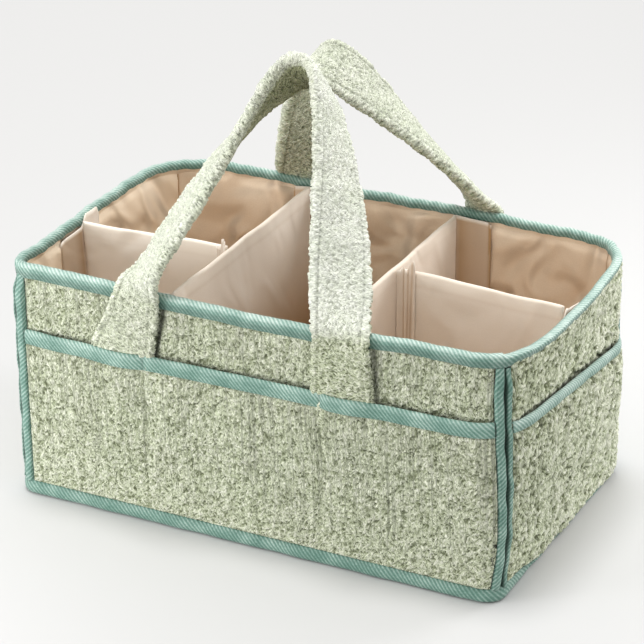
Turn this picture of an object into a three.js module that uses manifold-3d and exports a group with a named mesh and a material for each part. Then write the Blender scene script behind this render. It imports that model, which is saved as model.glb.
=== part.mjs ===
// Soft nursery caddy: an open tub of boarded cloth walls with a pocket on every side,
// two padded carrying straps and four loose dividers. Millimetres, +Z up, +X along the tub,
// front towards -Y, origin under the middle of the base.
import * as THREE from "three";
import { mergeVertices } from "three/addons/utils/BufferGeometryUtils.js";
import Module from "manifold-3d";

// Overall size of the tub, over its outer cloth.
const RIM_LENGTH = 383;
const BASE_LENGTH = 372;
const DEPTH = 230;
const HEIGHT = 181;

// The tub isn't quite square: its middle lies a little to the left, more at the base than at the rim.
const RIM_SHIFT = -1.5;
const BASE_SHIFT = -3;

// Plan radius of each corner: the soft walls round more towards the rim, and each corner its own way.
const RIM_CORNER = { frontLeft: 13, frontRight: 32, backRight: 43, backLeft: 52 };
const BASE_CORNER = { frontLeft: 11, frontRight: 14, backRight: 22, backLeft: 30 };

// How far round each corner its seam lies, in degrees, from the wall that comes before it anticlockwise.
const SEAM_ANGLE = { frontLeft: 45, frontRight: 52, backRight: 45, backLeft: 45 };

// Layers of the walls and the base, from the outside in, and the clearance between neighbours.
const SKIN = 3;
const WALL_BOARD = 2.5;
const LINING = 1;
const BASE_SKIN = 3;
const BASE_BOARD = 3;
const FIT = 0.3;

// The wall boards stop short of the rim, and the lining is folded into a hem above them.
const BOARD_DROP = 15;

// Twill tape that binds the edges.
const TAPE = 0.8;
const RIM_TAPE_DROP = 11.5;
const POCKET_TAPE_DROP = 11.5;
const BASE_TAPE_RISE = 10.5;
const CORNER_TAPE_WIDTH = 8;

// Pockets: height of the mouth at the two ends of each wall (walls run anticlockwise seen from above).
const POCKET_TOP = { front: [131, 136], right_end: [134, 112], back: [132, 132], left_end: [132, 132] };
const POCKET_SKIN = 2.5;
const POCKET_SLACK = 8;
const POCKET_SIDE_RUN = 25;
const POCKET_FOOT_RUN = 45;

// Carrying straps: section of the free strap and of the sewn feet.
const STRAP_WIDTH = 43;
const STRAP_THICK = 8;
const FOOT_WIDTH = 50;
const FOOT_THICK = 5;
const FOOT_TUCK = 22;
const FOOT_LIFT = 4;

// Each strap as it stands: feet about a middle, rise along its lean, sway of its top, tilt across its top.
// A leg has the place of its sewn end, its width at the rim, the share of its twist that it takes just above
// the rim, and how soon it takes the rest (under 1 is soon).
const HANDLES = {
  front: {
    side: -1, middle: -9.5, spread: 78.5, rise: 167, lean: 32, sway: 8, tilt: 50,
    leftSewn: -105, leftWidth: 35, leftEarly: 0.44, leftTwist: 2.2,
    rightSewn: 69, rightWidth: 41, rightEarly: 0, rightTwist: 0.75,
  },
  back: {
    side: 1, middle: -3, spread: 72, rise: 168, lean: 37, sway: -10, tilt: 22,
    leftSewn: -76, leftWidth: 43, leftEarly: 0, leftTwist: 0.5,
    rightSewn: 74, rightWidth: 33, rightEarly: 0.32, rightTwist: 1.6,
  },
};
const ARCH_POWER = 1.5;
const CROWN_EASE = 0.15;
const EARLY_SHARE = 0.12;

// Dividers: places of the four panels, their layers, and the flaps that hold them to the walls.
// The long ones stand a little askew: each has its place at the left end and at the right end.
const LEFT_CROSS_X = -67.5;
const RIGHT_CROSS_X = 51.5;
const LEFT_LONG_Y = [-26, -17];
const RIGHT_LONG_Y = [3, -5];
const DIVIDER_DROP = 3;
const DIVIDER_BOARD = 2.5;
const DIVIDER_CLOTH = 0.8;
const DIVIDER_CORNER = 6;
const FLAP_WIDTH = 28;
const BACK_WING = 22;
const FLAP_CLOTH = 1.2;
const FLAP_CORNER = 5;
const FLAP_LOW = 20;
const FLAP_DROP = 5;

// Fineness of the curved faces.
const ARC_STEPS = 6;
const LOOP_STEPS = 12;
const STRAP_STEPS = 28;
const SECTION_POINTS = 12;
const FOLD_STEPS = 4;

// Depths are measured inwards from the outer cloth, so what stands proud of it has a negative depth.
const BOARD_DEPTH = SKIN + FIT;
const LINING_DEPTH = BOARD_DEPTH + WALL_BOARD + FIT;
const WALL = LINING_DEPTH + LINING;
const TAPE_STAND = FIT + TAPE;
const POCKET_LEAST = TAPE_STAND + FIT;
const SEAM_STAND = POCKET_LEAST + POCKET_SKIN;
const WALL_FOOT = FIT + TAPE + FIT;
const WALL_TOP = HEIGHT - TAPE - FIT;
const BOARD_TOP = HEIGHT - BOARD_DROP;
const POCKET_FOOT = BASE_TAPE_RISE + FIT;
const FLOOR_TOP = BASE_SKIN + FIT + BASE_BOARD + FIT + LINING;
const DIVIDER_THICK = DIVIDER_BOARD + 2 * (FIT + DIVIDER_CLOTH);
const STRAP_START = HEIGHT + 2 * FIT;
const FOOT_STAND = TAPE_STAND + FIT;

const CORNERS = { frontLeft: [-1, -1], frontRight: [1, -1], backRight: [1, 1], backLeft: [-1, 1] };
const WALLS = {
  front: { from: "frontLeft", to: "frontRight", facing: -Math.PI / 2 },
  right_end: { from: "frontRight", to: "backRight", facing: 0 },
  back: { from: "backRight", to: "backLeft", facing: Math.PI / 2 },
  left_end: { from: "backLeft", to: "frontLeft", facing: Math.PI },
};

const FINISHES = {
  boucle: { color: 0xc6ccb2, roughness: 0.95, metalness: 0 },
  tape: { color: 0x7fa69b, roughness: 0.8, metalness: 0 },
  lining: { color: 0xc9a98b, roughness: 0.85, metalness: 0 },
  divider: { color: 0xd8c3ae, roughness: 0.85, metalness: 0 },
  board: { color: 0xe6e3dc, roughness: 0.6, metalness: 0 },
};

const { lerp, smoothstep, degToRad } = THREE.MathUtils;
const wasm = await Module();
wasm.setup();

// Solids from points and faces

function geometryOf(points, faces) {
  const geometry = new THREE.BufferGeometry();
  geometry.setFromPoints(points);
  geometry.setIndex(faces);
  return geometry;
}

function pushQuad(faces, a, b, c, d) {
  faces.push(a, b, c, a, c, d);
}

// A sheet with two faces: face(column, row, side) gives the outer (side 0) or inner (side 1) point.
function sheet(columns, rows, face) {
  const points = [];
  for (const side of [0, 1]) {
    for (const row of rows) {
      for (const column of columns) points.push(face(column, row, side));
    }
  }
  const at = (side, r, c) => (side * rows.length + r) * columns.length + c;
  const lastRow = rows.length - 1;
  const lastColumn = columns.length - 1;
  const faces = [];
  for (let r = 0; r < lastRow; r++) {
    for (let c = 0; c < lastColumn; c++) {
      pushQuad(faces, at(0, r, c), at(0, r, c + 1), at(0, r + 1, c + 1), at(0, r + 1, c));
      pushQuad(faces, at(1, r, c), at(1, r + 1, c), at(1, r + 1, c + 1), at(1, r, c + 1));
    }
    pushQuad(faces, at(0, r, 0), at(0, r + 1, 0), at(1, r + 1, 0), at(1, r, 0));
    const end = (side, row) => at(side, row, lastColumn);
    pushQuad(faces, end(0, r), end(1, r), end(1, r + 1), end(0, r + 1));
  }
  for (let c = 0; c < lastColumn; c++) {
    pushQuad(faces, at(0, 0, c), at(1, 0, c), at(1, 0, c + 1), at(0, 0, c + 1));
    pushQuad(faces, at(0, lastRow, c), at(0, lastRow, c + 1), at(1, lastRow, c + 1), at(1, lastRow, c));
  }
  return geometryOf(points, faces);
}

// A profile carried along a path: each ring holds the same points in the same order. A loop has no ends,
// and otherwise the flat profile tells how the two end faces are filled.
function sweep(rings, loop, profile) {
  const count = rings[0].length;
  const faces = [];
  const spans = loop ? rings.length : rings.length - 1;
  for (let i = 0; i < spans; i++) {
    const next = (i + 1) % rings.length;
    for (let k = 0; k < count; k++) {
      const after = (k + 1) % count;
      pushQuad(faces, i * count + k, i * count + after, next * count + after, next * count + k);
    }
  }
  if (!loop) {
    const last = (rings.length - 1) * count;
    for (const [a, b, c] of THREE.ShapeUtils.triangulateShape(profile, [])) {
      faces.push(a, c, b);
      faces.push(last + a, last + b, last + c);
    }
  }
  return geometryOf(rings.flat(), faces);
}

function solidOf(geometry) {
  const bare = geometry.clone();
  bare.deleteAttribute("normal");
  bare.deleteAttribute("uv");
  const merged = mergeVertices(bare, 1e-3);
  const mesh = { numProp: 3, vertProperties: merged.attributes.position.array, triVerts: merged.index.array };
  return new wasm.Manifold(new wasm.Mesh(mesh));
}

function cutOut(geometry, cutter) {
  const mesh = solidOf(geometry).subtract(solidOf(cutter)).getMesh();
  const cut = new THREE.BufferGeometry();
  cut.setAttribute("position", new THREE.BufferAttribute(mesh.vertProperties, 3));
  cut.setIndex(new THREE.BufferAttribute(mesh.triVerts, 1));
  return cut;
}

// Plan of the tub

function halfLength(z) {
  return lerp(BASE_LENGTH, RIM_LENGTH, z / HEIGHT) / 2;
}

function midLine(z) {
  return lerp(BASE_SHIFT, RIM_SHIFT, z / HEIGHT);
}

function cornerRadius(corner, z) {
  return lerp(BASE_CORNER[corner], RIM_CORNER[corner], z / HEIGHT);
}

function onCorner(corner, angle, z, depth) {
  const radius = cornerRadius(corner, z);
  const [sideX, sideY] = CORNERS[corner];
  const middle = midLine(z) + sideX * (halfLength(z) - radius);
  const x = middle + (radius - depth) * Math.cos(angle);
  const y = sideY * (DEPTH / 2 - radius) + (radius - depth) * Math.sin(angle);
  return new THREE.Vector3(x, y, z);
}

// The closed plan line at one height and depth, anticlockwise.
function planLoop(z, depth) {
  const loop = [];
  for (const { to, facing } of Object.values(WALLS)) {
    for (let k = 0; k <= LOOP_STEPS; k++) {
      loop.push(onCorner(to, facing + (k / LOOP_STEPS) * (Math.PI / 2), z, depth));
    }
  }
  return loop;
}

// Walls: a column is a place along one wall, on its first half corner, its flat or its last half corner.

function wallColumns(flatShares) {
  const columns = [];
  for (let k = ARC_STEPS; k >= 0; k--) columns.push({ part: "from", share: k / ARC_STEPS });
  for (const share of flatShares) columns.push({ part: "flat", share });
  for (let k = 0; k <= ARC_STEPS; k++) columns.push({ part: "to", share: k / ARC_STEPS });
  return columns;
}

// A wall's part of the corner's quarter turn, less a strip of the given width beside the seam.
function arcReach(corner, end, z, trim) {
  const seam = degToRad(SEAM_ANGLE[corner]);
  const part = end === "to" ? seam : Math.PI / 2 - seam;
  return part - trim / cornerRadius(corner, z);
}

function onWall(wall, column, z, depth, trim) {
  const { from, to, facing } = WALLS[wall];
  const turn = (corner) => arcReach(corner, column.part, z, trim) * column.share;
  if (column.part === "from") return onCorner(from, facing - turn(from), z, depth);
  if (column.part === "to") return onCorner(to, facing + turn(to), z, depth);
  return onCorner(from, facing, z, depth).lerp(onCorner(to, facing, z, depth), column.share);
}

// Length along a wall from its first edge to a column, and the wall's whole length.
function alongWall(wall, column, z, trim) {
  const { from, to, facing } = WALLS[wall];
  const first = cornerRadius(from, z) * arcReach(from, "from", z, trim);
  const last = cornerRadius(to, z) * arcReach(to, "to", z, trim);
  const flat = onCorner(from, facing, z, 0).distanceTo(onCorner(to, facing, z, 0));
  const travel = {
    from: first * (1 - column.share),
    flat: first + flat * column.share,
    to: first + flat + last * column.share,
  };
  return { length: travel[column.part], whole: first + flat + last };
}

function wallLayer(wall, outer, inner, top, trim) {
  const rows = [WALL_FOOT, lerp(WALL_FOOT, top, 0.5), top];
  const face = (column, z, side) => onWall(wall, column, z, side ? inner : outer, trim);
  return sheet(wallColumns([]), rows, face);
}

// The lining, with a hem above the board that is as thick as the board and lining together.
function liningPanel(wall) {
  const hemLow = BOARD_TOP + FIT;
  const hemFull = hemLow + WALL_BOARD;
  const rows = [WALL_FOOT, lerp(WALL_FOOT, hemLow, 0.5), hemLow, hemFull, WALL_TOP];
  return sheet(wallColumns([]), rows, (column, z, side) => {
    const outer = z < hemFull ? LINING_DEPTH : BOARD_DEPTH;
    return onWall(wall, column, z, side ? WALL : outer, FIT / 2);
  });
}

// One of the two tapes on a vertical seam: a narrow band beside it, from the board to proud of the pockets.
function cornerTape(wall, end) {
  const corner = WALLS[wall][end];
  const turn = end === "from" ? -1 : 1;
  const low = POCKET_FOOT;
  const high = HEIGHT - RIM_TAPE_DROP - FIT;
  const shares = turn < 0 ? [1, 0.5, 0] : [0, 0.5, 1];
  const rows = [0, 0.25, 0.5, 0.75, 1].map((share) => lerp(low, high, share));
  return sheet(shares, rows, (share, z, side) => {
    const trim = lerp(CORNER_TAPE_WIDTH, FIT / 2, share);
    const angle = WALLS[wall].facing + turn * arcReach(corner, end, z, trim);
    return onCorner(corner, angle, z, side ? SKIN - FIT : -SEAM_STAND);
  });
}

// Pockets

const POCKET_COLUMNS = wallColumns([0.03, 0.06, 0.1, 0.5, 0.9, 0.94, 0.97]);
const PANEL_TRIM = CORNER_TAPE_WIDTH + FIT;

function pocketMouth(wall, column) {
  const [first, last] = POCKET_TOP[wall];
  const { length, whole } = alongWall(wall, column, (first + last) / 2, PANEL_TRIM);
  return lerp(first, last, length / whole);
}

// How far the pocket hangs off the wall: least along its sewn edges, full at its slack mouth.
function pocketGap(wall, column, z) {
  const { length, whole } = alongWall(wall, column, z, PANEL_TRIM);
  const side = smoothstep(Math.min(length, whole - length), 0, POCKET_SIDE_RUN);
  const rise = smoothstep(z - POCKET_FOOT, 0, POCKET_FOOT_RUN);
  return lerp(POCKET_LEAST, POCKET_SLACK, side * rise);
}

function pocketPanel(wall) {
  const rows = [0, 0.25, 0.5, 0.75, 1, "tape", "mouth"];
  return sheet(POCKET_COLUMNS, rows, (column, row, side) => {
    const top = pocketMouth(wall, column);
    const tape = top - POCKET_TAPE_DROP;
    const places = { tape, mouth: top - TAPE_STAND };
    const z = places[row] ?? POCKET_FOOT + row * POCKET_FOOT_RUN;
    const gap = pocketGap(wall, column, Math.min(z, tape));
    return onWall(wall, column, z, side ? -gap : -gap - POCKET_SKIN, PANEL_TRIM);
  });
}

// The tape folded over a pocket's top edge.
function pocketTape(wall) {
  const profileAt = (column) => {
    const top = pocketMouth(wall, column);
    const low = top - POCKET_TAPE_DROP;
    const gap = pocketGap(wall, column, low);
    const inner = -gap + FIT;
    const outer = -gap - POCKET_SKIN - FIT;
    return foldedTape(outer, inner, low, top);
  };
  const rings = POCKET_COLUMNS.map((column) =>
    profileAt(column).map(({ x, y }) => onWall(wall, column, y, x, PANEL_TRIM)),
  );
  return sweep(rings, false, profileAt(POCKET_COLUMNS[0]));
}

// Section of a tape folded over an edge: x is depth, y is height, between the faces that it clasps.
function foldedTape(outer, inner, low, top) {
  return [
    new THREE.Vector2(outer - TAPE, low),
    new THREE.Vector2(outer, low),
    new THREE.Vector2(outer, top - TAPE),
    new THREE.Vector2(inner, top - TAPE),
    new THREE.Vector2(inner, low),
    new THREE.Vector2(inner + TAPE, low),
    new THREE.Vector2(inner + TAPE, top - TAPE),
    new THREE.Vector2(inner, top),
    new THREE.Vector2(outer, top),
    new THREE.Vector2(outer - TAPE, top - TAPE),
  ];
}

// A tape round the whole tub: its section carried along the plan.
function tapeLoop(section) {
  const rounds = section.map(({ x, y }) => planLoop(y, x));
  const rings = rounds[0].map((_, i) => rounds.map((round) => round[i]));
  return sweep(rings, true);
}

function baseTapeSection() {
  return [
    new THREE.Vector2(-SEAM_STAND, FIT + TAPE),
    new THREE.Vector2(-SEAM_STAND + TAPE, FIT),
    new THREE.Vector2(WALL, FIT),
    new THREE.Vector2(WALL, FIT + TAPE),
    new THREE.Vector2(-FIT, FIT + TAPE),
    new THREE.Vector2(-FIT, BASE_TAPE_RISE),
    new THREE.Vector2(-SEAM_STAND + TAPE, BASE_TAPE_RISE),
    new THREE.Vector2(-SEAM_STAND, BASE_TAPE_RISE - TAPE),
  ];
}

// Base: flat plates in the tub's plan

function basePlate(low, thick, depth) {
  const outline = planLoop(low, depth).map(({ x, y }) => new THREE.Vector2(x, y));
  const plate = new THREE.ExtrudeGeometry(new THREE.Shape(outline), { depth: thick, bevelEnabled: false });
  return plate.translate(0, 0, low);
}

// Straps

// A soft strap's section: nearly flat faces, rounded edges.
function strapSection(width, thick) {
  const section = [];
  for (let k = 0; k < SECTION_POINTS; k++) {
    const angle = ((k + 0.5) / SECTION_POINTS) * 2 * Math.PI;
    const round = (value) => Math.sign(value) * Math.sqrt(Math.abs(value));
    const x = (width / 2) * round(Math.cos(angle));
    section.push(new THREE.Vector2(x, (thick / 2) * round(Math.sin(angle))));
  }
  return section;
}

function strapRing(centre, across, out, width, thick) {
  return strapSection(width, thick).map(({ x, y }) =>
    centre.clone().addScaledVector(across, x).addScaledVector(out, y),
  );
}

function legOf(handle, end) {
  return {
    sewnAt: handle[end + "Sewn"],
    rimWidth: handle[end + "Width"],
    early: handle[end + "Early"],
    twist: handle[end + "Twist"],
  };
}

// Height of the arch, as a share of its rise, at a share of its half spread from the middle.
function archShare(s) {
  const eased = (x) => (x * x + CROWN_EASE * CROWN_EASE) ** (ARCH_POWER / 2);
  return 1 - (eased(s) - eased(0)) / (eased(1) - eased(0));
}

// Share of a leg's quarter turn that it has taken at a share of the arch's height.
function twistShare(leg, share) {
  return lerp(share ** leg.twist, smoothstep(share, 0, EARLY_SHARE), leg.early);
}

function strapCentre(handle, s) {
  const share = archShare(s);
  const up = handle.rise * share;
  const lean = degToRad(handle.lean);
  return new THREE.Vector3(
    handle.middle + handle.spread * s + handle.sway * share,
    handle.side * (DEPTH / 2 + FOOT_STAND + STRAP_THICK / 2 - up * Math.sin(lean)),
    STRAP_START + up * Math.cos(lean),
  );
}

// The free strap: an arch of twisted sections, flat against the wall line at both ends.
function handleStrap(handle) {
  const tilt = degToRad(handle.tilt);
  const crownAcross = new THREE.Vector3(0, handle.side * Math.cos(tilt), Math.sin(tilt));
  const rings = [];
  for (let i = 0; i <= STRAP_STEPS; i++) {
    const s = (2 * i) / STRAP_STEPS - 1;
    const leg = legOf(handle, s < 0 ? "left" : "right");
    const turn = (Math.PI / 2) * twistShare(leg, archShare(s));
    const roll = s < 0 ? turn : Math.PI - turn;
    const atEnd = i === 0 || i === STRAP_STEPS;
    const step = 1 / STRAP_STEPS;
    const along = strapCentre(handle, s + step).sub(strapCentre(handle, s - step)).normalize();
    if (atEnd) along.set(0, 0, -Math.sign(s));
    const across = new THREE.Vector3(Math.cos(roll), 0, 0).addScaledVector(crownAcross, Math.sin(roll));
    across.addScaledVector(along, -across.dot(along)).normalize();
    const out = along.clone().cross(across);
    const width = lerp(STRAP_WIDTH, leg.rimWidth, s * s * s * s);
    rings.push(strapRing(strapCentre(handle, s), across, out, width, STRAP_THICK));
  }
  return sweep(rings, false, strapSection(STRAP_WIDTH, STRAP_THICK));
}

// A sewn foot: from behind the pocket's mouth up the outside of the wall and over the rim tape.
function strapFoot(handle, wall, leg, rimX) {
  const mouthLow = Math.min(...POCKET_TOP[wall]);
  const mouthHigh = Math.max(...POCKET_TOP[wall]);
  const tapeLow = HEIGHT - RIM_TAPE_DROP;
  const levels = [
    { z: mouthLow - FOOT_TUCK, stand: FIT, thick: FOOT_THICK },
    { z: mouthHigh + FOOT_LIFT, stand: FIT, thick: FOOT_THICK },
    { z: tapeLow - FOOT_LIFT, stand: FOOT_STAND, thick: FOOT_THICK },
    { z: tapeLow + FOOT_LIFT, stand: FOOT_STAND, thick: STRAP_THICK },
    { z: STRAP_START - FIT, stand: FOOT_STAND, thick: STRAP_THICK },
  ];
  const low = levels[0].z;
  const high = levels[levels.length - 1].z;
  const rings = levels.map(({ z, stand, thick }) => {
    const share = smoothstep(z, low, high);
    const centre = new THREE.Vector3(lerp(leg.sewnAt, rimX, share), 0, z);
    centre.y = handle.side * (DEPTH / 2 + stand + thick / 2);
    const width = lerp(FOOT_WIDTH, leg.rimWidth, share);
    return strapRing(centre, new THREE.Vector3(1, 0, 0), new THREE.Vector3(0, 1, 0), width, thick);
  });
  return sweep(rings, false, strapSection(FOOT_WIDTH, FOOT_THICK));
}

// Dividers

// A flat plate that stands on its lower edge, centred on its thickness.
function standingPlate(outline, thick) {
  const settings = { depth: thick, bevelEnabled: false, curveSegments: FOLD_STEPS };
  const plate = new THREE.ExtrudeGeometry(outline, settings);
  return plate.translate(0, 0, -thick / 2).rotateX(Math.PI / 2);
}

// An outline with two round top corners; its sides may lean out by the given flares.
function roundTopped(left, right, low, top, radius, flares) {
  const topLeft = left - flares[0];
  const topRight = right + flares[1];
  const shape = new THREE.Shape();
  shape.moveTo(left, low);
  shape.lineTo(right, low);
  shape.lineTo(topRight, top - radius);
  shape.absarc(topRight - radius, top - radius, radius, 0, Math.PI / 2);
  shape.lineTo(topLeft + radius, top);
  shape.absarc(topLeft + radius, top - radius, radius, Math.PI / 2, Math.PI);
  return shape;
}

// A divider along its own X: cloth cover, board slid in from below, and a flap across each end. The flaps lie
// on the walls, so they turn back by as much as the divider stands askew. On an end wall the flap has a wing
// at its back too.
function addDivider(name, length, flapSide, skew, flares, ends) {
  const group = new THREE.Group();
  const low = FLOOR_TOP + FIT;
  const top = HEIGHT - DIVIDER_DROP;
  const half = length / 2;
  const inset = DIVIDER_CLOTH + FIT;
  const innerRadius = DIVIDER_CORNER - DIVIDER_CLOTH;
  const sleeve = half - DIVIDER_CLOTH;
  const cavity = roundTopped(-sleeve, sleeve, low - FIT, top - DIVIDER_CLOTH, innerRadius, flares);
  const cover = standingPlate(roundTopped(-half, half, low, top, DIVIDER_CORNER, flares), DIVIDER_THICK);
  const hollow = standingPlate(cavity, DIVIDER_BOARD + 2 * FIT);
  add(group, name + "_cover", cutOut(cover, hollow), FINISHES.divider);
  const board = roundTopped(-half + inset, half - inset, low, top - inset, innerRadius - FIT, flares);
  add(group, name + "_board", standingPlate(board, DIVIDER_BOARD), FINISHES.board);
  const edge = DIVIDER_THICK / 2;
  ends.forEach((end, i) => {
    const back = end === "wall" ? edge + BACK_WING : edge;
    const flap = roundTopped(-back, edge + FLAP_WIDTH, FLAP_LOW, HEIGHT - FLAP_DROP, FLAP_CORNER, [0, 0]);
    const side = i ? 1 : -1;
    const slope = (side * flares[i]) / (top - DIVIDER_CORNER - low);
    const leaning = new THREE.Matrix4().set(1, 0, 0, 0, 0, 1, slope, -slope * low, 0, 0, 1, 0, 0, 0, 0, 1);
    const plate = standingPlate(flap, FLAP_CLOTH).applyMatrix4(leaning);
    const mesh = add(group, name + "_" + end + "_flap", plate, FINISHES.divider);
    const lean = edge * Math.abs(Math.sin(skew));
    mesh.position.x = side * (half + lean + FIT + FLAP_CLOTH / 2);
    mesh.rotation.z = flapSide * (Math.PI / 2) - skew;
  });
  return group;
}

// Assembly

function add(parent, name, geometry, finish) {
  const mesh = new THREE.Mesh(geometry, new THREE.MeshStandardMaterial(finish));
  mesh.name = name;
  parent.add(mesh);
  return mesh;
}

const caddy = new THREE.Group();

const tub = new THREE.Group();
caddy.add(tub);
for (const wall of Object.keys(WALLS)) {
  const boardBack = BOARD_DEPTH + WALL_BOARD;
  add(tub, wall + "_panel", wallLayer(wall, 0, SKIN, WALL_TOP, PANEL_TRIM), FINISHES.boucle);
  add(tub, wall + "_board", wallLayer(wall, BOARD_DEPTH, boardBack, BOARD_TOP, FIT), FINISHES.board);
  add(tub, wall + "_lining", liningPanel(wall), FINISHES.lining);
  add(tub, wall + "_pocket", pocketPanel(wall), FINISHES.boucle);
  add(tub, wall + "_pocket_binding", pocketTape(wall), FINISHES.tape);
  add(tub, wall + "_first_corner_binding", cornerTape(wall, "from"), FINISHES.tape);
  add(tub, wall + "_last_corner_binding", cornerTape(wall, "to"), FINISHES.tape);
}
const rimSection = foldedTape(-FIT, WALL + FIT, HEIGHT - RIM_TAPE_DROP, HEIGHT);
add(tub, "rim_binding", tapeLoop(rimSection), FINISHES.tape);
add(tub, "base_binding", tapeLoop(baseTapeSection()), FINISHES.tape);
add(tub, "base_panel", basePlate(0, BASE_SKIN, WALL + FIT), FINISHES.boucle);
add(tub, "base_board", basePlate(BASE_SKIN + FIT, BASE_BOARD, WALL + FIT), FINISHES.board);
add(tub, "floor_lining", basePlate(FLOOR_TOP - LINING, LINING, WALL + FIT), FINISHES.lining);

const straps = new THREE.Group();
caddy.add(straps);
for (const [wall, handle] of Object.entries(HANDLES)) {
  add(straps, wall + "_handle", handleStrap(handle), FINISHES.boucle);
  for (const [end, s] of [["left", -1], ["right", 1]]) {
    const foot = strapFoot(handle, wall, legOf(handle, end), strapCentre(handle, s).x);
    add(straps, wall + "_handle_" + end + "_foot", foot, FINISHES.boucle);
  }
}

const dividers = new THREE.Group();
caddy.add(dividers);
const flapRoom = FIT + FLAP_CLOTH + FIT;
const crossLength = DEPTH - 2 * (WALL + TAPE_STAND + flapRoom);
const endFace = (side, z) => midLine(z) + side * (halfLength(z) - WALL - TAPE_STAND - flapRoom);
const endLow = FLOOR_TOP + FIT;
const endHigh = HEIGHT - DIVIDER_DROP - DIVIDER_CORNER;
const crossRoom = DIVIDER_THICK / 2 + flapRoom;
const CROSS = [["left_cross_divider", LEFT_CROSS_X, 1], ["right_cross_divider", RIGHT_CROSS_X, -1]];
for (const [name, x, flapSide] of CROSS) {
  const divider = addDivider(name, crossLength, flapSide, 0, [0, 0], ["front", "back"]);
  divider.position.x = x;
  divider.rotation.z = Math.PI / 2;
  dividers.add(divider);
}
const LONG = [
  ["left_long_divider", endFace(-1, endLow), LEFT_CROSS_X - crossRoom, LEFT_LONG_Y, ["wall", "inner"]],
  ["right_long_divider", RIGHT_CROSS_X + crossRoom, endFace(1, endLow), RIGHT_LONG_Y, ["inner", "wall"]],
];
for (const [name, from, to, [fromY, toY], ends] of LONG) {
  const skew = Math.atan2(toY - fromY, to - from);
  const length = (to - from) / Math.cos(skew) - DIVIDER_THICK * Math.abs(Math.sin(skew));
  const leanings = [from - endFace(-1, endHigh), endFace(1, endHigh) - to];
  const flares = ends.map((end, i) => (end === "wall" ? leanings[i] : 0));
  const divider = addDivider(name, length, -1, skew, flares, ends);
  divider.position.set((from + to) / 2, (fromY + toY) / 2, 0);
  divider.rotation.z = skew;
  dividers.add(divider);
}

export default caddy;
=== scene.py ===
# %% [markdown]
# # A boucle nursery caddy
# The CAD frame holds every panel, tape, strap and divider at its real place. This file dresses that frame:
# each cloth piece is laid out again as a fine grid, so that it can carry a pile, a weave, a stitch or a wrinkle.
# The frame is loaded first. Cloth may stand only a little proud of it.

# %% Load the frame
import math

import bpy
import numpy as np
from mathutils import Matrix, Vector


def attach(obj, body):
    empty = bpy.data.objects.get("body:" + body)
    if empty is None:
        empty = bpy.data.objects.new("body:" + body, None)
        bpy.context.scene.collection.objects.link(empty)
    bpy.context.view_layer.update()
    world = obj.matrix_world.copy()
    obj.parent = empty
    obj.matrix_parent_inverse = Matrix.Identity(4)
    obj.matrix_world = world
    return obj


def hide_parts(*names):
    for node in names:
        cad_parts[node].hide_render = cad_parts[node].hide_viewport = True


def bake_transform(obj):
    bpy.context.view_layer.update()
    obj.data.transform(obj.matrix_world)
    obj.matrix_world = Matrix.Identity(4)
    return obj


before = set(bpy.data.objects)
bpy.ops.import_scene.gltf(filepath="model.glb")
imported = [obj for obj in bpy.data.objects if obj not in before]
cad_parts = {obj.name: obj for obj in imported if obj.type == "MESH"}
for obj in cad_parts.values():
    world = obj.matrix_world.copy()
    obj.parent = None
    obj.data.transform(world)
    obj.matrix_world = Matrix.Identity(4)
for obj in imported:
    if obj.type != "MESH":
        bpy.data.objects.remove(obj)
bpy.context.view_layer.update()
MM = 0.001

# %% [markdown]
# ## Camera
# The eye was found from the tub's straight edges: it stands to the right of the front, a little above, and far
# away, so the edges hardly converge. The camera is turned so that the picture's middle needs no lens shift.

# %% Place the camera
AZIMUTH, ELEVATION = math.radians(26.29), math.radians(26.14)
EYE_DISTANCE, FOCAL_PIXELS, PICTURE_PIXELS = 2274.6 * MM, 3159.0, 644
AIM_RIGHT, AIM_UP, AIM_HEIGHT = -5.89, 44.29, 90 * MM
SENSOR_WIDTH = 36

toward_eye = Vector((math.sin(AZIMUTH) * math.cos(ELEVATION), -math.cos(AZIMUTH) * math.cos(ELEVATION),
                     math.sin(ELEVATION)))
picture_right = Vector((math.cos(AZIMUTH), math.sin(AZIMUTH), 0))
picture_up = toward_eye.cross(picture_right)
looking = -toward_eye + (picture_right * AIM_RIGHT + picture_up * AIM_UP) / FOCAL_PIXELS
bpy.ops.object.camera_add(location=Vector((0, 0, AIM_HEIGHT)) + toward_eye * EYE_DISTANCE)
camera = bpy.context.object
camera.rotation_euler = looking.to_track_quat("-Z", "Y").to_euler()
camera.data.sensor_width = SENSOR_WIDTH
camera.data.lens = SENSOR_WIDTH * FOCAL_PIXELS / PICTURE_PIXELS
bpy.context.scene.camera = camera
print("camera lens", round(camera.data.lens, 1), "mm")

# %% [markdown]
# ## Light
# The photograph has soft studio light. A white surround fills every side. A low lamp on the front left lights the
# front and fades along it, and a lamp on the back right rakes along the right end and reaches the inside of the
# left wall. A soft sun lamp stands for the panel overhead: it gives the floor a shadow close round the base.

# %% Light the scene
scene = bpy.context.scene
scene.view_settings.view_transform = "Standard"
world = scene.world or bpy.data.worlds.new("studio")
scene.world = world
world.use_nodes = True
surround = world.node_tree.nodes["Background"].inputs
surround["Color"].default_value = (1.0, 0.99, 0.97, 1)
surround["Strength"].default_value = 0.96


def area_lamp(name, place, aim, size, power):
    bpy.ops.object.light_add(type="AREA", location=place)
    lamp = bpy.context.object
    lamp.name = name
    lamp.data.shape = "DISK"
    lamp.data.size = size
    lamp.data.energy = power
    lamp.rotation_euler = (Vector(aim) - Vector(place)).to_track_quat("-Z", "Y").to_euler()


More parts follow.
